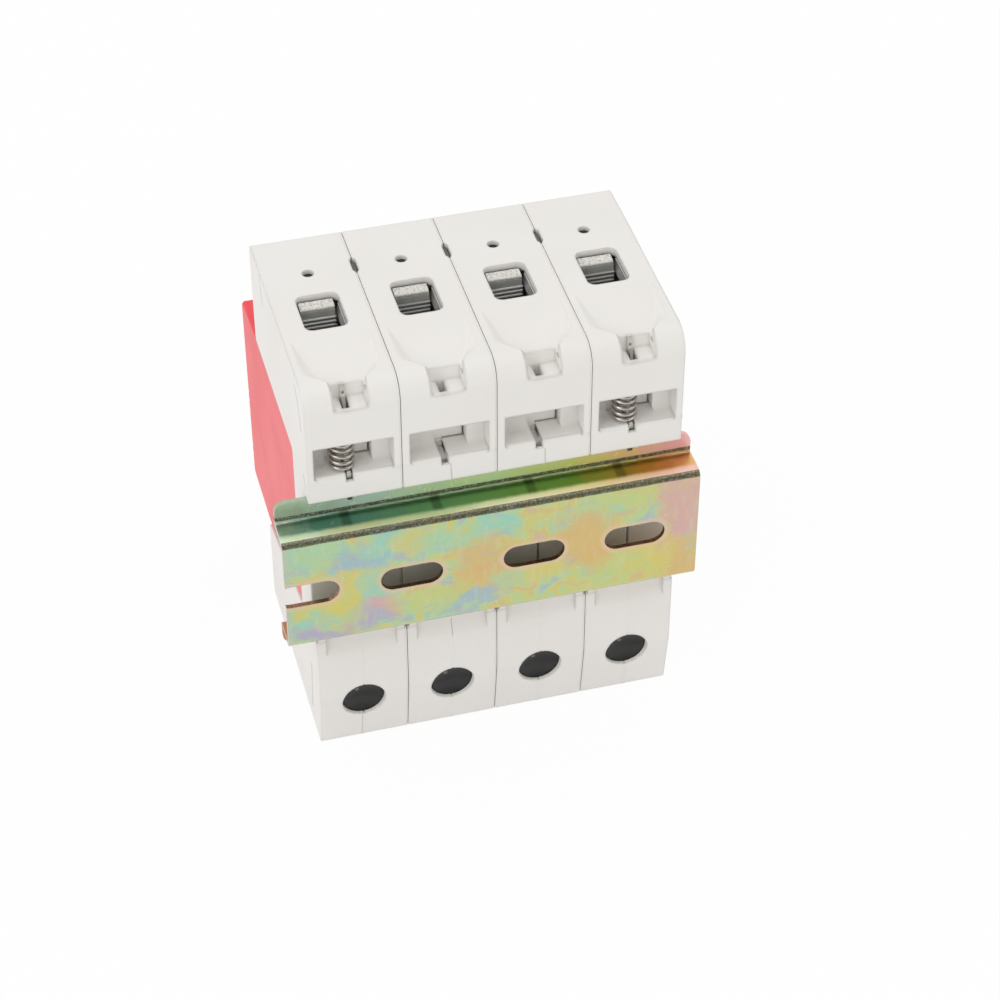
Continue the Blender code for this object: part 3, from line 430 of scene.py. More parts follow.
def chromatedRail():
    board = Board("chromatedRail")
    place = board.where()
    x, y, z = board.axes(place)
    along = (x - railSettings["left"] * mm) / ((railSettings["right"] - railSettings["left"]) * mm)
    rise = z - railSettings["middle"] * mm
    small = board.noise(board.stretch(place, (330.0, 330.0, 300.0)), 1.0, 3.0, 0.6, 0.4)
    streak = board.noise(board.stretch(place, (800.0, 800.0, 200.0), (0.0, 0.35, 0.0)), 1.0, 2.0)
    warpX = board.noise(place, 190.0, 3.0, 0.55, 0.5) - 0.5
    warpZ = board.noise(board.node("ShaderNodeMapping", {}, {"Vector": place, "Location": (0.4, 0.7, 0.2)}), 190.0, 3.0, 0.55, 0.5) - 0.5
    fineX = board.noise(place, 620.0, 3.0, 0.6, 0.4) - 0.5
    driftX = x + warpX * 0.012 + fineX * 0.0025
    driftZ = z + warpZ * 0.010 + (small - 0.5) * 0.0025
    swirl = board.noise(board.stretch(place, (150.0, 150.0, 210.0), (0.0, 0.2, 0.0)), 1.0, 4.0, 0.55, 1.3)
    film = railSettings["film"]
    rainbow = board.ramp(swirl + (along - 0.5) * 0.10 + fineX * 0.05, [(stop, film[tint]) for stop, tint in railSettings["rainbow"]])
    colour = board.blend(0.62, railSettings["base"], rainbow)
    for tint, centreX, centreZ, halfX, halfZ in railSettings["patches"]:
        centre = spot(centreX, 0, centreZ)
        across = (driftX - centre.x) / (halfX * mm)
        upward = (driftZ - centre.z) / (halfZ * mm)
        near = 1.0 - board.step(across * across + upward * upward, 0.0, 3.0)
        colour = board.blend(near * 0.80, colour, film[tint])
    sheared = 1.0 - board.step(along + fineX * 0.006, 0.004, 0.018)
    colour = board.blend(sheared * 0.7, colour, (0.50, 0.56, 0.46))
    glint = board.step(streak, 0.52, 0.75)
    colour = board.blend(glint * 0.22, colour, (0.68, 0.66, 0.48))
    # the folded walls and flanges carry a film of their own, with painted reflection in it: the walls darkened, the
    # flanges made bright and less metallic
    drift = along + (small - 0.5) * 0.16 + warpX * 0.18
    apart = abs(rise)
    fold = (y > (railSettings["webRear"] + 1.0) * mm)
    flange = board.step(apart, railSettings["flangeFrom"] * mm, (railSettings["flangeFrom"] + 0.1) * mm) * fold
    wall = board.step(apart, 0.0116, 0.0120) * (1.0 - flange) * fold
    colour = board.blend(wall, colour, board.ramp(drift, railSettings["wallFilmAndShade"]))
    colour = board.blend(flange, colour, board.ramp(drift, railSettings["flangeFilmAndReflection"]))
    outward = (railSettings["flange"] * mm - y)
    ragged = apart + fineX * 0.0004
    folded = (1.0 - board.step(outward, 0.0006, 0.0011)) * fold * (rise > 0.0)

    speckle = board.noise(place, 2900.0, 3.0, 0.7)

    def stripe(low, high):
        return folded * board.step(ragged, low * mm, (low + 0.08) * mm) * (1.0 - board.step(ragged, high * mm, (high + 0.1) * mm))

    # painted highlight: a pale line along the inner bend under the upper flange
    paleLineHighlight = stripe(*railSettings["paleLineHighlight"])
    colour = board.blend(paleLineHighlight * 0.5, colour, board.ramp(drift, railSettings["paleFilmHighlight"]))
    # painted shade: a dark speckled line in the crease under the upper flange
    creaseShade = stripe(*railSettings["darkLine"])
    colour = board.blend(creaseShade * 0.9, colour, board.ramp(speckle, [(0.40, (0.03, 0.035, 0.022)), (0.54, (0.12, 0.125, 0.075)), (0.68, (0.42, 0.42, 0.30))]))
    # painted light: a pale band on the outer part of the walls
    paleBandHighlight = wall * board.step(outward + fineX * 0.0005, 0.0033, 0.0046)
    colour = board.blend(paleBandHighlight * 0.95, colour, board.ramp(drift, railSettings["paleFilmHighlight"]))
    # painted reflection: a dark vertical bar on the walls for each pole
    reflectedBars = None
    for centre in railSettings["reflectedBars"]:
        near = 1.0 - board.step(abs(x - spot(centre, 0, 0).x), 0.0005, 0.0013)
        reflectedBars = near if reflectedBars is None else reflectedBars + near
    colour = board.blend(reflectedBars * wall * (1.0 - paleBandHighlight) * 0.55, colour, (0.07, 0.10, 0.06))
    lowTip = (flange + wall) * (rise < 0.0)
    colour = board.blend(lowTip * 0.8, colour, (0.50, 0.20, 0.06))
    # dark, speckled outer bends
    outer = (rise > 0.0) * (y < (railSettings["webRear"] + 1.0) * mm) \
        * board.step(apart + fineX * 0.0003, (railSettings["webHalf"] - 1.15) * mm, (railSettings["webHalf"] - 0.95) * mm)
    bendSpeckle = board.ramp(speckle, [(0.36, (0.10, 0.092, 0.062)), (0.52, (0.22, 0.205, 0.14)), (0.68, (0.48, 0.45, 0.34))])
    colour = board.blend(outer * 0.9, colour, bendSpeckle)
    # a warm rim round each slot, and its brown punched edge
    rim = None
    inside = None
    for centre in railSettings["slots"]:
        flat = board.node("ShaderNodeMath", {"operation": "MAXIMUM"}, {0: abs(x - centre * mm) - railSettings["slotHalf"] * mm, 1: 0.0})
        away = board.node("ShaderNodeMath", {"operation": "SQRT"}, {0: flat * flat + rise * rise}) - railSettings["slotRadius"] * mm
        near = 1.0 - board.step(away + (small - 0.5) * 0.0012, 0.0003, 0.0013)
        deep = 1.0 - board.step(away, 0.00002, 0.00006)
        rim = near if rim is None else rim + near
        inside = deep if inside is None else inside + deep
    colour = board.blend(rim * 0.7, colour, (0.74, 0.54, 0.38))
    punched = inside * (y > (railSettings["webRear"] + 0.06) * mm)
    colour = board.blend(punched * 0.85, colour, board.ramp(speckle, [(0.45, (0.16, 0.055, 0.03)), (0.60, (0.34, 0.16, 0.09)), (0.72, (0.80, 0.74, 0.66))]))
    scratch = board.step(board.noise(board.stretch(place, (500.0, 500.0, 3600.0), (0.0, 0.7, 0.0)), 1.0, 2.0), 0.71, 0.76)
    colour = board.blend(scratch * (0.25 + along * 0.4), colour, (0.78, 0.76, 0.72))
    return board.finish(
        Base_Color=colour, Metallic=1.0 - flange * (1.0 - creaseShade) * 0.8 - creaseShade * 0.85 - paleBandHighlight * 0.75 - paleLineHighlight * 0.5,
        Roughness=0.20 + small * 0.12 + outer * 0.20 + wall * 0.05 + creaseShade * 0.3,
        Normal=board.bump(speckle * outer + small * 0.06 + scratch * 0.1, 0.30, 0.00008, board.softEdge(0.0002)),
    )


def pottedElement():
    board = Board("pottedElement")
    place = board.where()
    x, y, z = board.axes(place)
    cloud = board.noise(place, 260.0, 3.0)
    blade = y < -0.01295
    tone = board.blend(cloud, (0.06, 0.12, 0.30), (0.09, 0.16, 0.38))
    tone = board.blend(blade, tone, (0.62, 0.60, 0.56))
    return board.finish(
        Base_Color=tone, Metallic=blade, Roughness=0.46 - blade * 0.18 + cloud * 0.1,
        Normal=board.bump(cloud, 0.15, 0.0002, board.softEdge(0.0003)),
    )


white = mouldedWhite("mouldedWhite", plasticSettings["edge"])
whiteWeb = mouldedWhite("whiteWeb", 0.0)
red = mouldedRed()
black = glossBlack("glossBlack", (0.006, 0.0055, 0.005), 0.07, 1.42)
clipGrey = glossBlack("clipGrey", (0.15, 0.15, 0.145), 0.5)
dullBlack = glossBlack("dullBlack", (0.022, 0.021, 0.020), 0.42)
lens = lensGreen()
zinc = platedSteel("zincCage", (0.62, 0.62, 0.60), (0.50, 0.50, 0.49), 0.30, 0.6)
screwSteel = platedSteel("screwSteel", (0.60, 0.60, 0.58), (0.48, 0.48, 0.46), 0.22)
latchSteel = platedSteel("latchSteel", (0.74, 0.72, 0.66), (0.60, 0.58, 0.52), 0.24, 0.7, clawShadeHeight=0.0655)
springSteel = platedSteel("springSteel", (0.64, 0.60, 0.56), (0.50, 0.46, 0.42), 0.14)
strip = tinnedStrip()
chromate = chromatedRail()
potted = pottedElement()
print("finishes made:", len(bpy.data.materials))


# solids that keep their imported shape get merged, softly shaded copies

def settled(name, shape, material, body, replaced, smooth=None):
    if smooth is not None:
        for face in shape.faces:
            face.smooth = True
        for edge in shape.edges:
            edge.smooth = len(edge.link_faces) == 2 and edge.calc_face_angle(0.0) < math.radians(smooth)
    mesh = bpy.data.meshes.new(name)
    shape.to_mesh(mesh)
    shape.free()
    mesh.materials.clear()
    mesh.materials.append(material)
    made = bpy.data.objects.new(name, mesh)
    bpy.context.scene.collection.objects.link(made)
    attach(made, body)
    if replaced:
        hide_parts(*replaced)
    return made


def keepFlat(made):
    weigh = made.modifiers.new("flat faces stay flat", "WEIGHTED_NORMAL")
    weigh.keep_sharp = True
    weigh.weight = 100


def softCopy(name, node, material, body, sharp=34.0):
    shape = bmesh.new()
    shape.from_mesh(nodes[node].data)
    bmesh.ops.remove_doubles(shape, verts=shape.verts, dist=2e-6)
    bmesh.ops.dissolve_limit(shape, angle_limit=math.radians(0.4), verts=shape.verts, edges=shape.edges)
    made = settled(name, shape, material, body, [node], sharp)
    keepFlat(made)
    return made


# the joint of housing and cover is closed to a hairline in one pole body
def slab(shape, axis, outline, low, high):
    rings = []
    for level in (low, high):
        ring = []
        for first, second in outline:
            where = {"X": (level, first, second), "Y": (first, level, second), "Z": (first, second, level)}[axis]
            ring.append(shape.verts.new(spot(*where)))
        rings.append(ring)
    count = len(outline)
    faces = [shape.faces.new(rings[0]), shape.faces.new(rings[1])]
    for place in range(count):
        after = (place + 1) % count
        faces.append(shape.faces.new((rings[0][place], rings[0][after], rings[1][after], rings[1][place])))
    bmesh.ops.recalc_face_normals(shape, faces=faces)


jointSettings = {
    "dividers": (-18.0, 0.0, 18.0), "slit": 0.075, "webHalf": 0.34, "seamHalf": 0.2,
    "notch": (32.0, 41.8, 82.9), "notchMiddle": 36.9, "notchDepth": 0.45, "notchShare": 0.88,
    "dividerOutline": (
        (2.55, 0.75), (2.85, 0.25), (3.4, 0.05), (47.4, 0.05), (48.5, 0.5), (48.95, 1.6), (48.95, 18.0), (48.7, 18.75), (48.0, 19.2),
        (15.0, 26.75), (14.15, 27.8), (14.15, 66.2), (14.95, 67.05), (47.9, 67.05), (48.65, 67.35), (48.95, 68.1),
        (48.95, 88.4), (48.5, 89.5), (47.4, 89.95), (39.5, 89.95), (39.5, 83.0), (34.3, 83.0), (34.3, 89.95), (4.55, 89.95),
        (3.25, 89.76), (2.1, 89.3), (1.15, 88.5), (0.5, 87.5), (0.13, 86.35), (0.05, 85.4), (0.05, 65.4), (0.5, 64.9),
        (3.35, 64.9), (3.35, 29.1), (1.1, 29.1), (0.65, 28.7), (0.65, 14.6), (0.9, 12.0),
    ),
    "seamOutlines": (
        ((0.01, 64.9), (3.2, 64.9), (3.2, 70.34), (0.62, 70.34), (0.01, 69.88)),
        ((0.61, 15.9), (3.0, 15.9), (3.0, 29.1), (1.61, 29.1), (1.61, 27.2), (0.61, 25.2)),
        ((2.58, 0.3), (4.4, 0.3), (4.4, 6.9), (1.60, 6.9)),
        ((3.4, 0.03), (18.4, 0.03), (18.4, 1.5), (3.4, 1.5)),
        ((30.0, 0.03), (48.4, 0.03), (48.4, 1.5), (30.0, 1.5)),
        ((48.96, 1.6), (48.96, 6.4), (47.6, 6.4), (47.6, 1.6)),
        ((48.96, 12.6), (48.96, 18.0), (47.6, 18.0), (47.6, 12.6)),
    ),
    # the level joint over the cover, beside and below the pocket: left, right, rear, front, low, high
    "levelJoint": ((7.4, 8.84, 0.01, 4.6, 70.2, 70.8), (-0.2, 7.5, 0.58, 5.85, 70.2, 70.49)),
}


def poleBody(number):
    shape = bmesh.new()
    for half in ("housing", "cover"):
        shape.from_mesh(nodes["base_%s_%d" % (half, number)].data)
    bmesh.ops.remove_doubles(shape, verts=shape.verts, dist=2e-6)
    middle = spot(poleCentres[number - 1], jointSettings["notchMiddle"], 0)
    low, high = spot(0, jointSettings["notch"][0], 0).y, spot(0, jointSettings["notch"][1], 0).y
    for side, bare in ((-1.0, number == 1), (1.0, number == 4)):      # no clip shows on an outer side
        outer = max(side * (vertex.co.x - middle.x) for vertex in shape.verts)
        for vertex in shape.verts:
            inward = outer - side * (vertex.co.x - middle.x)
            if inward < 0.00075 and low < vertex.co.y < high and vertex.co.z > jointSettings["notch"][2] * mm:
                vertex.co.x = middle.x + side * (outer - (0.0 if bare else min(inward, jointSettings["notchDepth"] * mm)))
                vertex.co.y = middle.y + (vertex.co.y - middle.y) * jointSettings["notchShare"]
    bmesh.ops.dissolve_limit(shape, angle_limit=math.radians(0.4), verts=shape.verts, edges=shape.edges)
    centre = poleCentres[number - 1]
    for outline in jointSettings["seamOutlines"]:
        slab(shape, "X", outline, centre - jointSettings["seamHalf"], centre + jointSettings["seamHalf"])
    for left, right, rear, front, low, high in jointSettings["levelJoint"]:
        slab(shape, "X", ((rear, low), (front, low), (front, high), (rear, high)), centre + left, centre + right)
    made = settled(
        "poleBody%d" % number, shape, white, "base", ["base_housing_%d" % number, "base_cover_%d" % number], 34.0,
    )
    keepFlat(made)


plateSettings = {
    "raise": 1.05, "leftFrom": -3.5, "leftIn": 0.4, "topFrom": 87.0, "ribs": (83.0, 85.9), "firstRib": 85.4, "ribTo": 86.6, "ribSpread": 0.95,
    "face": 26.6, "front": 26.5, "ribDepth": 0.4, "rightFrom": 3.4, "rightIn": 0.45,
}


def standTaller(plate, upper, centre):
    mirror = 1.0 if upper else -1.0
    for vertex in plate.data.vertices:
        y = vertex.co.y / mm - shift.y
        z = 45.0 + (vertex.co.z / mm - 45.0) * mirror
        if z > plateSettings["topFrom"]:
            z += plateSettings["raise"]
        elif plateSettings["ribs"][0] < z < plateSettings["ribs"][1] and y < plateSettings["face"]:
            z = plateSettings["ribTo"] + (z - plateSettings["firstRib"]) * plateSettings["ribSpread"]
            y = plateSettings["front"] + (y - plateSettings["front"]) * plateSettings["ribDepth"]
            vertex.co.y = (y + shift.y) * mm
        vertex.co.z = (45.0 + (z - 45.0) * mirror) * mm
        aside = vertex.co.x / mm - shift.x - centre
        if z > 80.0 and aside < plateSettings["leftFrom"]:
            vertex.co.x += plateSettings["leftIn"] * mm
        elif z > 80.0 and aside > plateSettings["rightFrom"]:
            vertex.co.x -= plateSettings["rightIn"] * mm


for number in range(1, 5):
    poleBody(number)
    softCopy("cartridgeShell%d" % number, "cartridge_housing_%d" % number, red, "cartridge_%d" % number)
    for end in ("upper", "lower"):
        plate = softCopy("%sContact%d" % (end, number), "%s_contact_%d" % (end, number), strip, "base")
        standTaller(plate, end == "upper", poleCentres[number - 1])
        for piece, material in (("cage", zinc), ("screw", screwSteel)):
            node = "%s_%s_%d" % (end, piece, number)
            nodes[node].data.materials.clear()
            nodes[node].data.materials.append(material)
    for piece, material in (("cartridge_carrier", dullBlack), ("cartridge_element", potted), ("cartridge_lens", lens)):
        node = "%s_%d" % (piece, number)
        nodes[node].data.materials.clear()
        nodes[node].data.materials.append(material)
clawShort = 0.75
for number in latchedPoles:
    latch = softCopy("railLatch%d" % number, "rail_latch_%d" % number, latchSteel, nodes["rail_latch_%d" % number]["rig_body"])
    tip = min(vertex.co.z for vertex in latch.data.vertices)
    for vertex in latch.data.vertices:
        if vertex.co.z < tip + 0.0003:
            vertex.co.z += clawShort * mm
softCopy("slottedRail", "rail", chromate, "rail")
print("soft copies made")


# thin webs between the poles
webs = bmesh.new()
for centre in jointSettings["dividers"]:
    for side in (-1, 1):
        edges = sorted((centre + side * jointSettings["slit"], centre + side * jointSettings["webHalf"]))
        slab(webs, "X", jointSettings["dividerOutline"], *edges)
settled("poleWebs", webs, whiteWeb, "base", [])

# a small hollow fillet in the shallow step of each spring pocket
pocketSettings = {
    "floor": 70.49, "steps": 8, "right": (4.11, 7.49, 4.0, 1.2), "left": (-7.49, -1.8, 5.9, 2.0), "leftBySpring": (-7.49, -4.5, 5.9, 2.0),
}
fillets = bmesh.new()
for number, centre in enumerate(poleCentres, 1):
    for left, right, wall, radius in (pocketSettings["right"], pocketSettings["leftBySpring" if number in latchedPoles else "left"]):
        outline = [(wall + 0.03, pocketSettings["floor"] - 0.1)]
        for step in range(pocketSettings["steps"] + 1):
            angle = math.radians(-90 + 90 * step / pocketSettings["steps"])
            outline.append((wall - radius + radius * math.cos(angle), pocketSettings["floor"] + radius + radius * math.sin(angle)))
        outline.append((wall + 0.03, pocketSettings["floor"] + radius))
        slab(fillets, "X", outline, centre + left, centre + right)
settled("pocketFillets", fillets, whiteWeb, "base", [], 34.0)

# the funnels' walls run out into their floors
funnelSettings = {
    "outer": ((7.5, 16.4), (7.5, 6.6), (3.55, 3.5)), "inner": ((7.3, 16.35), (5.1, 8.6), (3.05, 4.1)), "rightCorner": 7.0,
    "outerBend": 1.5, "innerBend": 4.0, "stations": 26, "steps": 10, "floor": 87.6, "rise": 2.4 / 13.2, "rear": 3.3, "bend": 4.5, "top": 90.0,
}


def bentPath(first, corner, last, radius, count):
    first, corner, last = Vector(first), Vector(corner), Vector(last)
    back = (first - corner).normalized()
    ahead = (last - corner).normalized()
    reach = radius / math.tan(back.angle(ahead) / 2)
    start = corner + back * reach
    end = corner + ahead * reach
    points = [first.lerp(start, number / 8) for number in range(8)]
    for number in range(9):
        share = number / 8
        points.append(start.lerp(corner, share).lerp(corner.lerp(end, share), share))
    points += [end.lerp(last, number / 8) for number in range(1, 9)]
    lengths = [0.0]
    for one, two in zip(points, points[1:]):
        lengths.append(lengths[-1] + (two - one).length)
    found = []
    for number in range(count):
        target = lengths[-1] * number / (count - 1)
        place = max(1, next((one for one, length in enumerate(lengths) if length >= target - 1e-9), len(points) - 1))
        share = (target - lengths[place - 1]) / (lengths[place] - lengths[place - 1])
        found.append(points[place - 1].lerp(points[place], share))
    return found


funnelSides = bmesh.new()
for centre in poleCentres:
    for side in (-1.0, 1.0):
        outer = [Vector(one) for one in funnelSettings["outer"]]
        if side > 0.0:
            outer[1].x = funnelSettings["rightCorner"]
        outer = bentPath(*outer, funnelSettings["outerBend"], funnelSettings["stations"])
        inner = bentPath(*funnelSettings["inner"], funnelSettings["innerBend"], funnelSettings["stations"])
        rings = []
        for wall, foot in zip(outer, inner):
            rim = funnelSettings["top"] - 0.004 - max(0.0, funnelSettings["bend"] - wall.y) ** 2 / 8.0
            ring = []
            for step in range(funnelSettings["steps"] + 1):
                share = step / funnelSettings["steps"]
                place = wall.lerp(foot, share)
                floor = funnelSettings["floor"] + max(0.0, place.y - funnelSettings["rear"]) * funnelSettings["rise"] - 0.02
                ring.append((place.x + 0.05 * (1.0 - share), place.y, floor + max(0.0, rim - floor) * (1.0 - share * share * (3.0 - 2.0 * share))))
            floor = funnelSettings["floor"] + (wall.y - funnelSettings["rear"]) * funnelSettings["rise"] - 0.1
            ring.append((wall.x + 0.05, wall.y, floor))
            rings.append([funnelSides.verts.new(spot(centre + side * x, y, z)) for x, y, z in ring])
        faces = [funnelSides.faces.new(rings[0]), funnelSides.faces.new(rings[-1])]
        for one, two in zip(rings, rings[1:]):
            for number in range(len(one)):
                after = (number + 1) % len(one)
                faces.append(funnelSides.faces.new((one[number], one[after], two[after], two[number])))
        bmesh.ops.recalc_face_normals(funnelSides, faces=faces)
settled("funnelSides", funnelSides, whiteWeb, "base", [], 40.0)

# side leaves in the wire windows, dark floors in the pin holes as painted shade, and the clips that hold neighbouring
# poles together
windowSettings = {"leafX": (3.72, 4.02), "leafY": (19.4, 27.9), "leafZ": (86.4, 88.6), "leafBend": 0.35}
leaves = bmesh.new()
for centre in poleCentres:
    for mirror in (1.0, -1.0):
        left, right = windowSettings["leafX"]
        low, high = windowSettings["leafZ"]
        bend = windowSettings["leafBend"]
        outline = [(left - bend, low), (right - bend, low), (right, high - 0.6), (right, high - 0.08), (right - 0.08, high), (left + 0.08, high), (left, high - 0.08), (left, high - 0.6)]
        placed = [(centre + one, 45.0 + (two - 45.0) * mirror) for one, two in outline]
        slab(leaves, "Y", placed, *windowSettings["leafY"])
settled("windowLeaves", leaves, zinc, "base", [])

pinSettings = {"y": 36.4, "radius": 1.13, "top": 89.1, "thick": 0.4}
# painted shade: a dark disc near the top of each pin hole
floors = bmesh.new()
for centre in poleCentres:
    rings = [[floors.verts.new(spot(
        centre + pinSettings["radius"] * math.cos(2 * math.pi * number / 24),
        pinSettings["y"] + pinSettings["radius"] * math.sin(2 * math.pi * number / 24), level,
    )) for number in range(24)] for level in (pinSettings["top"], pinSettings["top"] - pinSettings["thick"])]
    hub = [floors.verts.new(spot(centre, pinSettings["y"], level)) for level in (pinSettings["top"] - 0.15, pinSettings["top"] - pinSettings["thick"])]
    for number in range(24):
        after = (number + 1) % 24
        floors.faces.new((hub[0], rings[0][number], rings[0][after]))
        floors.faces.new((rings[0][number], rings[1][number], rings[1][after], rings[0][after]))
        floors.faces.new((hub[1], rings[1][after], rings[1][number]))
bmesh.ops.recalc_face_normals(floors, faces=floors.faces)
settled("pinHoleFloors", floors, dullBlack, "base", [], 34.0)

clipSettings = {"y": 36.9, "half": 0.40, "length": 4.3, "low": 84.0, "high": 89.15, "slope": 0.35}
clips = bmesh.new()
for centre in jointSettings["dividers"]:
    half = clipSettings["half"]
    reach = clipSettings["length"] / 2
    outline = ((-0.14, -reach), (0.14, -reach), (half, -reach + 0.6), (half, reach - 0.6), (0.14, reach), (-0.14, reach), (-half, reach - 0.6), (-half, -reach + 0.6))
    slab(clips, "Z", [(centre + one, clipSettings["y"] + two) for one, two in outline], clipSettings["low"], clipSettings["high"])
settled("poleClips", clips, clipGrey, "base", [], 34.0)

# the tongue of each latch that shows in its slot
tongueSettings = {"left": -1.15, "right": -0.6, "path": ((3.0, 86.4), (2.6, 85.9), (2.1, 85.2), (1.75, 84.3), (1.7, 83.3)), "sheet": 0.35}
for number in latchedPoles:
    centre = poleCentres[number - 1]
    outline = list(tongueSettings["path"]) + [(one + tongueSettings["sheet"], two + 0.1) for one, two in reversed(tongueSettings["path"])]
    shape = bmesh.new()
    slab(shape, "X", outline, centre + tongueSettings["left"], centre + tongueSettings["right"])
    settled("latchTongue%d" % number, shape, latchSteel, nodes["rail_latch_%d" % number]["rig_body"], [], 34.0)
print("joint webs and fillets made")


# node trees for wound and threaded pieces
class Tree:
    def __init__(self, name, inputs):
        self.tree = bpy.data.node_groups.new(name, "GeometryNodeTree")
        self.ids = {}
        for label, kind in inputs.items():
            self.ids[label] = self.tree.interface.new_socket(label, in_out="INPUT", socket_type=kind).identifier
        self.tree.interface.new_socket("Geometry", in_out="OUTPUT", socket_type="NodeSocketGeometry")
        self.entry = self.tree.nodes.new("NodeGroupInput")

    def take(self, label):
        return self.entry.outputs[label]

    def node(self, kind, settings, sockets, output=0):
        made = self.tree.nodes.new(kind)
        for key, value in settings.items():
            setattr(made, key, value)
        for key, value in sockets.items():
            if isinstance(value, bpy.types.NodeSocket):
                self.tree.links.new(value, made.inputs[key])
            else:
                made.inputs[key].default_value = value
        return made.outputs[output]

    def maths(self, operation, first, second=0.0):
        return self.node("ShaderNodeMath", {"operation": operation}, {0: first, 1: second})

    def close(self, geometry):
        whole = self.node("GeometryNodeRealizeInstances", {}, {"Geometry": geometry})
        finished = self.node("GeometryNodeSetMaterial", {}, {"Geometry": whole, "Material": self.take("Material")})
        leave = self.tree.nodes.new("NodeGroupOutput")
        self.tree.links.new(finished, leave.inputs[0])

    def grow(self, name, values):
        base = bpy.data.objects.new(name + "Seed", bpy.data.meshes.new(name + "Seed"))
        bpy.context.scene.collection.objects.link(base)
        maker = base.modifiers.new("maker", "NODES")
        maker.node_group = self.tree
        for label, value in values.items():
            maker[self.ids[label]] = value
        bpy.context.view_layer.update()
        mesh = bpy.data.meshes.new_from_object(base.evaluated_get(bpy.context.evaluated_depsgraph_get()))
        mesh.name = name
        bpy.data.objects.remove(base, do_unlink=True)
        made = bpy.data.objects.new(name, mesh)
        bpy.context.scene.collection.objects.link(made)
        return made


def coilTree():
    tree = Tree("coilSpring", {
        "Turns": "NodeSocketFloat", "Coil Radius": "NodeSocketFloat", "Height": "NodeSocketFloat",
        "Wire Radius": "NodeSocketFloat", "End Closing": "NodeSocketFloat", "Place": "NodeSocketVector",
        "Material": "NodeSocketMaterial",
    })
    helix = tree.node("GeometryNodeCurveSpiral", {}, {
        "Resolution": 48, "Rotations": tree.take("Turns"), "Start Radius": tree.take("Coil Radius"),
        "End Radius": tree.take("Coil Radius"), "Height": tree.take("Height"),
    })
    along = tree.node("GeometryNodeSplineParameter", {}, {})
    wave = tree.maths("SINE", tree.maths("MULTIPLY", along, 2 * math.pi))
    sink = tree.maths("MULTIPLY", tree.maths("MULTIPLY", wave, tree.take("End Closing")), tree.maths("DIVIDE", tree.take("Height"), -2 * math.pi))
    offset = tree.node("ShaderNodeCombineXYZ", {}, {"Z": sink})
    helix = tree.node("GeometryNodeSetPosition", {}, {"Geometry": helix, "Offset": offset})
    ring = tree.node("GeometryNodeCurvePrimitiveCircle", {}, {"Resolution": 14, "Radius": tree.take("Wire Radius")})
    wire = tree.node("GeometryNodeCurveToMesh", {}, {"Curve": helix, "Profile Curve": ring, "Fill Caps": True})
    wire = tree.node("GeometryNodeSetShadeSmooth", {}, {"Geometry": wire})
    tree.close(tree.node("GeometryNodeTransform", {}, {"Geometry": wire, "Translation": tree.take("Place")}))
    return tree


springSettings = {"turns": 4.5, "diameter": 5.0, "wire": 0.7, "low": 70.7, "high": 77.18, "aside": -1.8, "axis": 3.1, "closing": 0.18, "keep": 0.68}
coil = coilTree()
for number in latchedPoles:
    wire = springSettings["wire"]
    made = coil.grow("latchCoil%d" % number, {
        "Turns": springSettings["turns"],
        "Coil Radius": (springSettings["diameter"] - wire) / 2 * mm,
        "Height": (springSettings["high"] - springSettings["low"] - wire) * mm,
        "Wire Radius": wire / 2 * mm,
        "End Closing": springSettings["closing"],
        "Place": spot(poleCentres[number - 1] + springSettings["aside"], springSettings["axis"], springSettings["low"] + wire / 2),
        "Material": springSteel,
    })
    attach(made, "base")
    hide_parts("latch_spring_%d" % number)
    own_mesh(made)
print("latch coils wound")


def threadTree():
    tree = Tree("clampThread", {
        "Turns": "NodeSocketFloat", "Radius": "NodeSocketFloat", "Length": "NodeSocketFloat", "Ridge": "NodeSocketFloat",
        "Place": "NodeSocketVector", "Material": "NodeSocketMaterial",
    })
    helix = tree.node("GeometryNodeCurveSpiral", {}, {
        "Resolution": 20, "Rotations": tree.take("Turns"), "Start Radius": tree.take("Radius"),
        "End Radius": tree.take("Radius"), "Height": tree.take("Length"),
    })
    ridge = tree.node("GeometryNodeCurvePrimitiveCircle", {}, {"Resolution": 4, "Radius": tree.take("Ridge")})
    thread = tree.node("GeometryNodeCurveToMesh", {}, {"Curve": helix, "Profile Curve": ridge, "Fill Caps": True})
    tree.close(tree.node("GeometryNodeTransform", {}, {
        "Geometry": thread, "Translation": tree.take("Place"), "Rotation": (math.radians(-90), 0, 0),
    }))
    return tree


threadSettings = {"pitch": 0.8, "radius": 2.47, "ridge": 0.24, "headLength": 3.4}
thread = threadTree()
for number in range(1, 5):
    for end in ("upper", "lower"):
        node = "%s_screw_%d" % (end, number)
        low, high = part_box(node)
        length = high[1] - low[1] - (threadSettings["headLength"] + 0.6) * mm
        made = thread.grow("%sThread%d" % (end, number), {
            "Turns": length / (threadSettings["pitch"] * mm),
            "Radius": threadSettings["radius"] * mm,
            "Length": length,
            "Ridge": threadSettings["ridge"] * mm,
            "Place": Vector(((low[0] + high[0]) / 2, low[1] + 0.3 * mm, (low[2] + high[2]) / 2)),
            "Material": screwSteel,
        })
        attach(made, nodes[node]["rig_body"])
print("clamp screws threaded")


# dished plugs with a moulding nub
plugSettings = {"segments": 72, "dish": 0.9, "rim": 0.5, "nub": 0.55, "nubAside": -1.1, "nubUp": 1.7}


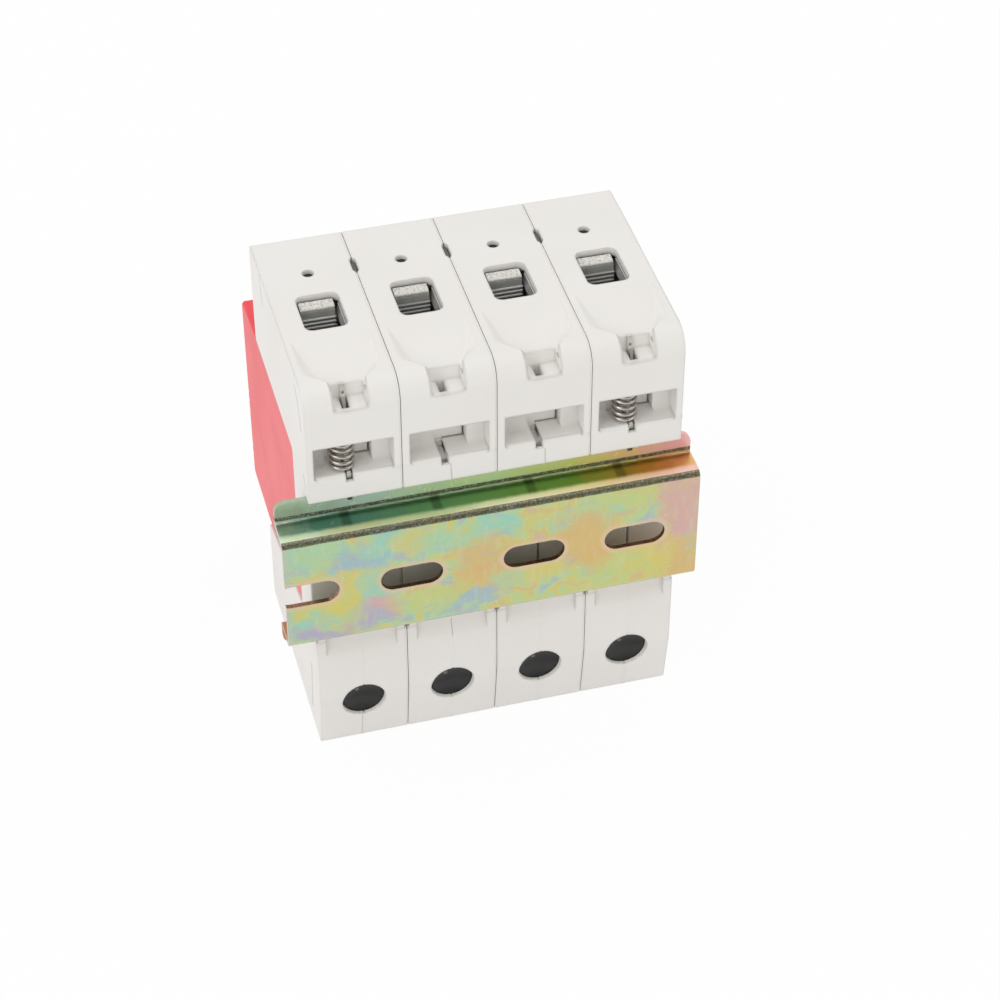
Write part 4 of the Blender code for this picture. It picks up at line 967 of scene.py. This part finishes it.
def turnedAlongY(shape, centre, profile, segments):
    rings = []
    for radius, y in profile:
        if radius < 1e-9:
            rings.append([shape.verts.new((centre[0], y, centre[1]))])
            continue
        ring = []
        for number in range(segments):
            angle = 2 * math.pi * number / segments
            ring.append(shape.verts.new((centre[0] + radius * math.cos(angle), y, centre[1] + radius * math.sin(angle))))
        rings.append(ring)
    faces = []
    for first, second in zip(rings, rings[1:]):
        for number in range(segments):
            after = (number + 1) % segments
            corners = [first[number % len(first)], first[after % len(first)], second[after % len(second)], second[number % len(second)]]
            unique = []
            for corner in corners:
                if corner not in unique:
                    unique.append(corner)
            if len(unique) > 2:
                faces.append(shape.faces.new(unique))
    bmesh.ops.recalc_face_normals(shape, faces=faces)


for number in range(1, 5):
    node = "rear_plug_%d" % number
    low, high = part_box(node)
    radius = (high[0] - low[0]) / 2
    middleX = (low[0] + high[0]) / 2
    middleZ = (low[2] + high[2]) / 2
    shape = bmesh.new()
    rim = plugSettings["rim"] * mm
    profile = []
    for step in range(9):                                     # the dish
        share = step / 8
        profile.append(((radius - 2 * rim) * share, low[1] + plugSettings["dish"] * mm * (1.0 - share ** 2.2)))
    for step in range(1, 7):                                  # a round rim
        angle = math.pi * step / 6
        profile.append((radius - rim - rim * math.cos(angle), low[1] + 0.0002 - 0.0002 * math.sin(angle) + (rim * 0.5 if step == 6 else 0.0)))
    profile.append((radius, high[1] - 0.2 * mm))
    profile.append((radius - 0.2 * mm, high[1]))
    profile.append((0.0, high[1]))
    turnedAlongY(shape, (middleX, middleZ), profile, plugSettings["segments"])
    settled("rearPlug%d" % number, shape, black, "base", [node], 50.0)
    # a moulding nub on each plug, its grey a painted highlight on the black
    shape = bmesh.new()
    nub = []
    for step in range(6):
        angle = math.pi / 2 * step / 5
        nub.append((plugSettings["nub"] * mm * math.sin(angle), low[1] + (0.42 - 0.40 * math.cos(angle)) * mm))
    nub.append((plugSettings["nub"] * mm, low[1] + 0.9 * mm))
    nub.append((0.0, low[1] + 0.9 * mm))
    turnedAlongY(shape, (middleX + plugSettings["nubAside"] * mm, middleZ + plugSettings["nubUp"] * mm), nub, 18)
    settled("plugNub%d" % number, shape, clipGrey, "base", [], 50.0)
print("plugs turned")

# floor, light and camera

stageSettings = {
    "ambient": 0.86, "key": 4.2, "keySize": 1.2, "top": 1.6, "floor": 0.90, "floorGlow": 0.95,
    "cardPlace": (0.30, -1.45, 0.95), "cardSize": 0.95, "card": 0.22,
}


def lightMask(tree):
    path = tree.nodes.new("ShaderNodeLightPath")
    last = path.outputs["Is Camera Ray"]
    for name in ("Is Glossy Ray", "Is Transmission Ray"):
        most = tree.nodes.new("ShaderNodeMath")
        most.operation = "MAXIMUM"
        tree.links.new(last, most.inputs[0])
        tree.links.new(path.outputs[name], most.inputs[1])
        last = most.outputs[0]
    return last


world = bpy.data.worlds.new("studio")
bpy.context.scene.world = world
world.use_nodes = True
sky = world.node_tree
sky.nodes.clear()
seen = sky.nodes.new("ShaderNodeBackground")
seen.inputs["Color"].default_value = (1, 1, 1, 1)
seen.inputs["Strength"].default_value = 1.0
fill = sky.nodes.new("ShaderNodeBackground")
fill.inputs["Color"].default_value = (1.0, 0.995, 0.985, 1)
fill.inputs["Strength"].default_value = stageSettings["ambient"]
either = sky.nodes.new("ShaderNodeMixShader")
out = sky.nodes.new("ShaderNodeOutputWorld")
sky.links.new(lightMask(sky), either.inputs[0])
sky.links.new(fill.outputs[0], either.inputs[1])
sky.links.new(seen.outputs[0], either.inputs[2])
sky.links.new(either.outputs[0], out.inputs[0])

ground = bmesh.new()
bmesh.ops.create_grid(ground, x_segments=1, y_segments=1, size=4.0)
groundMesh = bpy.data.meshes.new("floor")
ground.to_mesh(groundMesh)
ground.free()
floor = bpy.data.objects.new("floor", groundMesh)
floor.location = (0, 0, -0.0003)
bpy.context.scene.collection.objects.link(floor)
paper = bpy.data.materials.new("paperFloor")
paper.use_nodes = True
paperTree = paper.node_tree
paperTree.nodes.clear()
matt = paperTree.nodes.new("ShaderNodeBsdfDiffuse")
matt.inputs["Color"].default_value = (stageSettings["floor"],) * 3 + (1,)
glow = paperTree.nodes.new("ShaderNodeEmission")
glow.inputs["Strength"].default_value = 1.0
share = paperTree.nodes.new("ShaderNodeMath")
share.operation = "MULTIPLY"
share.inputs[1].default_value = stageSettings["floorGlow"]
mixed = paperTree.nodes.new("ShaderNodeMixShader")
paperOut = paperTree.nodes.new("ShaderNodeOutputMaterial")
paperTree.links.new(lightMask(paperTree), share.inputs[0])
paperTree.links.new(share.outputs[0], mixed.inputs[0])
paperTree.links.new(matt.outputs[0], mixed.inputs[1])
paperTree.links.new(glow.outputs[0], mixed.inputs[2])
paperTree.links.new(mixed.outputs[0], paperOut.inputs[0])
floor.data.materials.append(paper)
floor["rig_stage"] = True


# a dark card behind the camera, which only the metal mirrors
cardShape = bmesh.new()
bmesh.ops.create_grid(cardShape, x_segments=1, y_segments=1, size=stageSettings["cardSize"])
cardTurn = (Vector((0, -0.03, 0.05)) - Vector(stageSettings["cardPlace"])).to_track_quat("Z", "Y")
cardShape.transform(Matrix.Translation(stageSettings["cardPlace"]) @ cardTurn.to_matrix().to_4x4())
cardMesh = bpy.data.meshes.new("darkCard")
cardShape.to_mesh(cardMesh)
cardShape.free()
darkCard = bpy.data.objects.new("darkCard", cardMesh)
bpy.context.scene.collection.objects.link(darkCard)
cloth = bpy.data.materials.new("darkCloth")
cloth.use_nodes = True
cloth.node_tree.nodes["Principled BSDF"].inputs["Base Color"].default_value = (stageSettings["card"],) * 3 + (1,)
cloth.node_tree.nodes["Principled BSDF"].inputs["Roughness"].default_value = 0.9
darkCard.data.materials.append(cloth)
darkCard.visible_camera = False
darkCard.visible_diffuse = False
darkCard.visible_shadow = False
darkCard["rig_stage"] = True


def lamp(name, place, size, power):
    light = bpy.data.lights.new(name, "AREA")
    light.shape = "SQUARE"
    light.size = size
    light.energy = power
    made = bpy.data.objects.new(name, light)
    made.location = place
    made.rotation_euler = (Vector((0, 0, 0.045)) - Vector(place)).to_track_quat("-Z", "Y").to_euler()
    bpy.context.scene.collection.objects.link(made)
    return made


lamp("keyLamp", (-1.1, -0.7, 0.9), stageSettings["keySize"], stageSettings["key"])
lamp("topLamp", (0.2, 0.1, 1.5), 1.4, stageSettings["top"])

cameraSettings = {
    "place": (-0.09776, -0.40128, 0.38928), "lens": 97.3,
    "right": (0.9653, -0.2613, -0.0008), "down": (-0.1713, -0.6307, -0.7569), "ahead": (0.1972, 0.7308, -0.6535),
}
view = bpy.data.cameras.new("camera")
view.lens = cameraSettings["lens"]
view.sensor_width = 36.0
view.clip_start = 0.01
view.clip_end = 20.0
camera = bpy.data.objects.new("camera", view)
turned = Matrix((
    cameraSettings["right"],
    tuple(-one for one in cameraSettings["down"]),
    tuple(-one for one in cameraSettings["ahead"]),
)).transposed()
camera.matrix_world = Matrix.Translation(cameraSettings["place"]) @ turned.to_4x4()
bpy.context.scene.collection.objects.link(camera)
bpy.context.scene.camera = camera
bpy.context.scene.view_settings.view_transform = "Standard"

low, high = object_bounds()
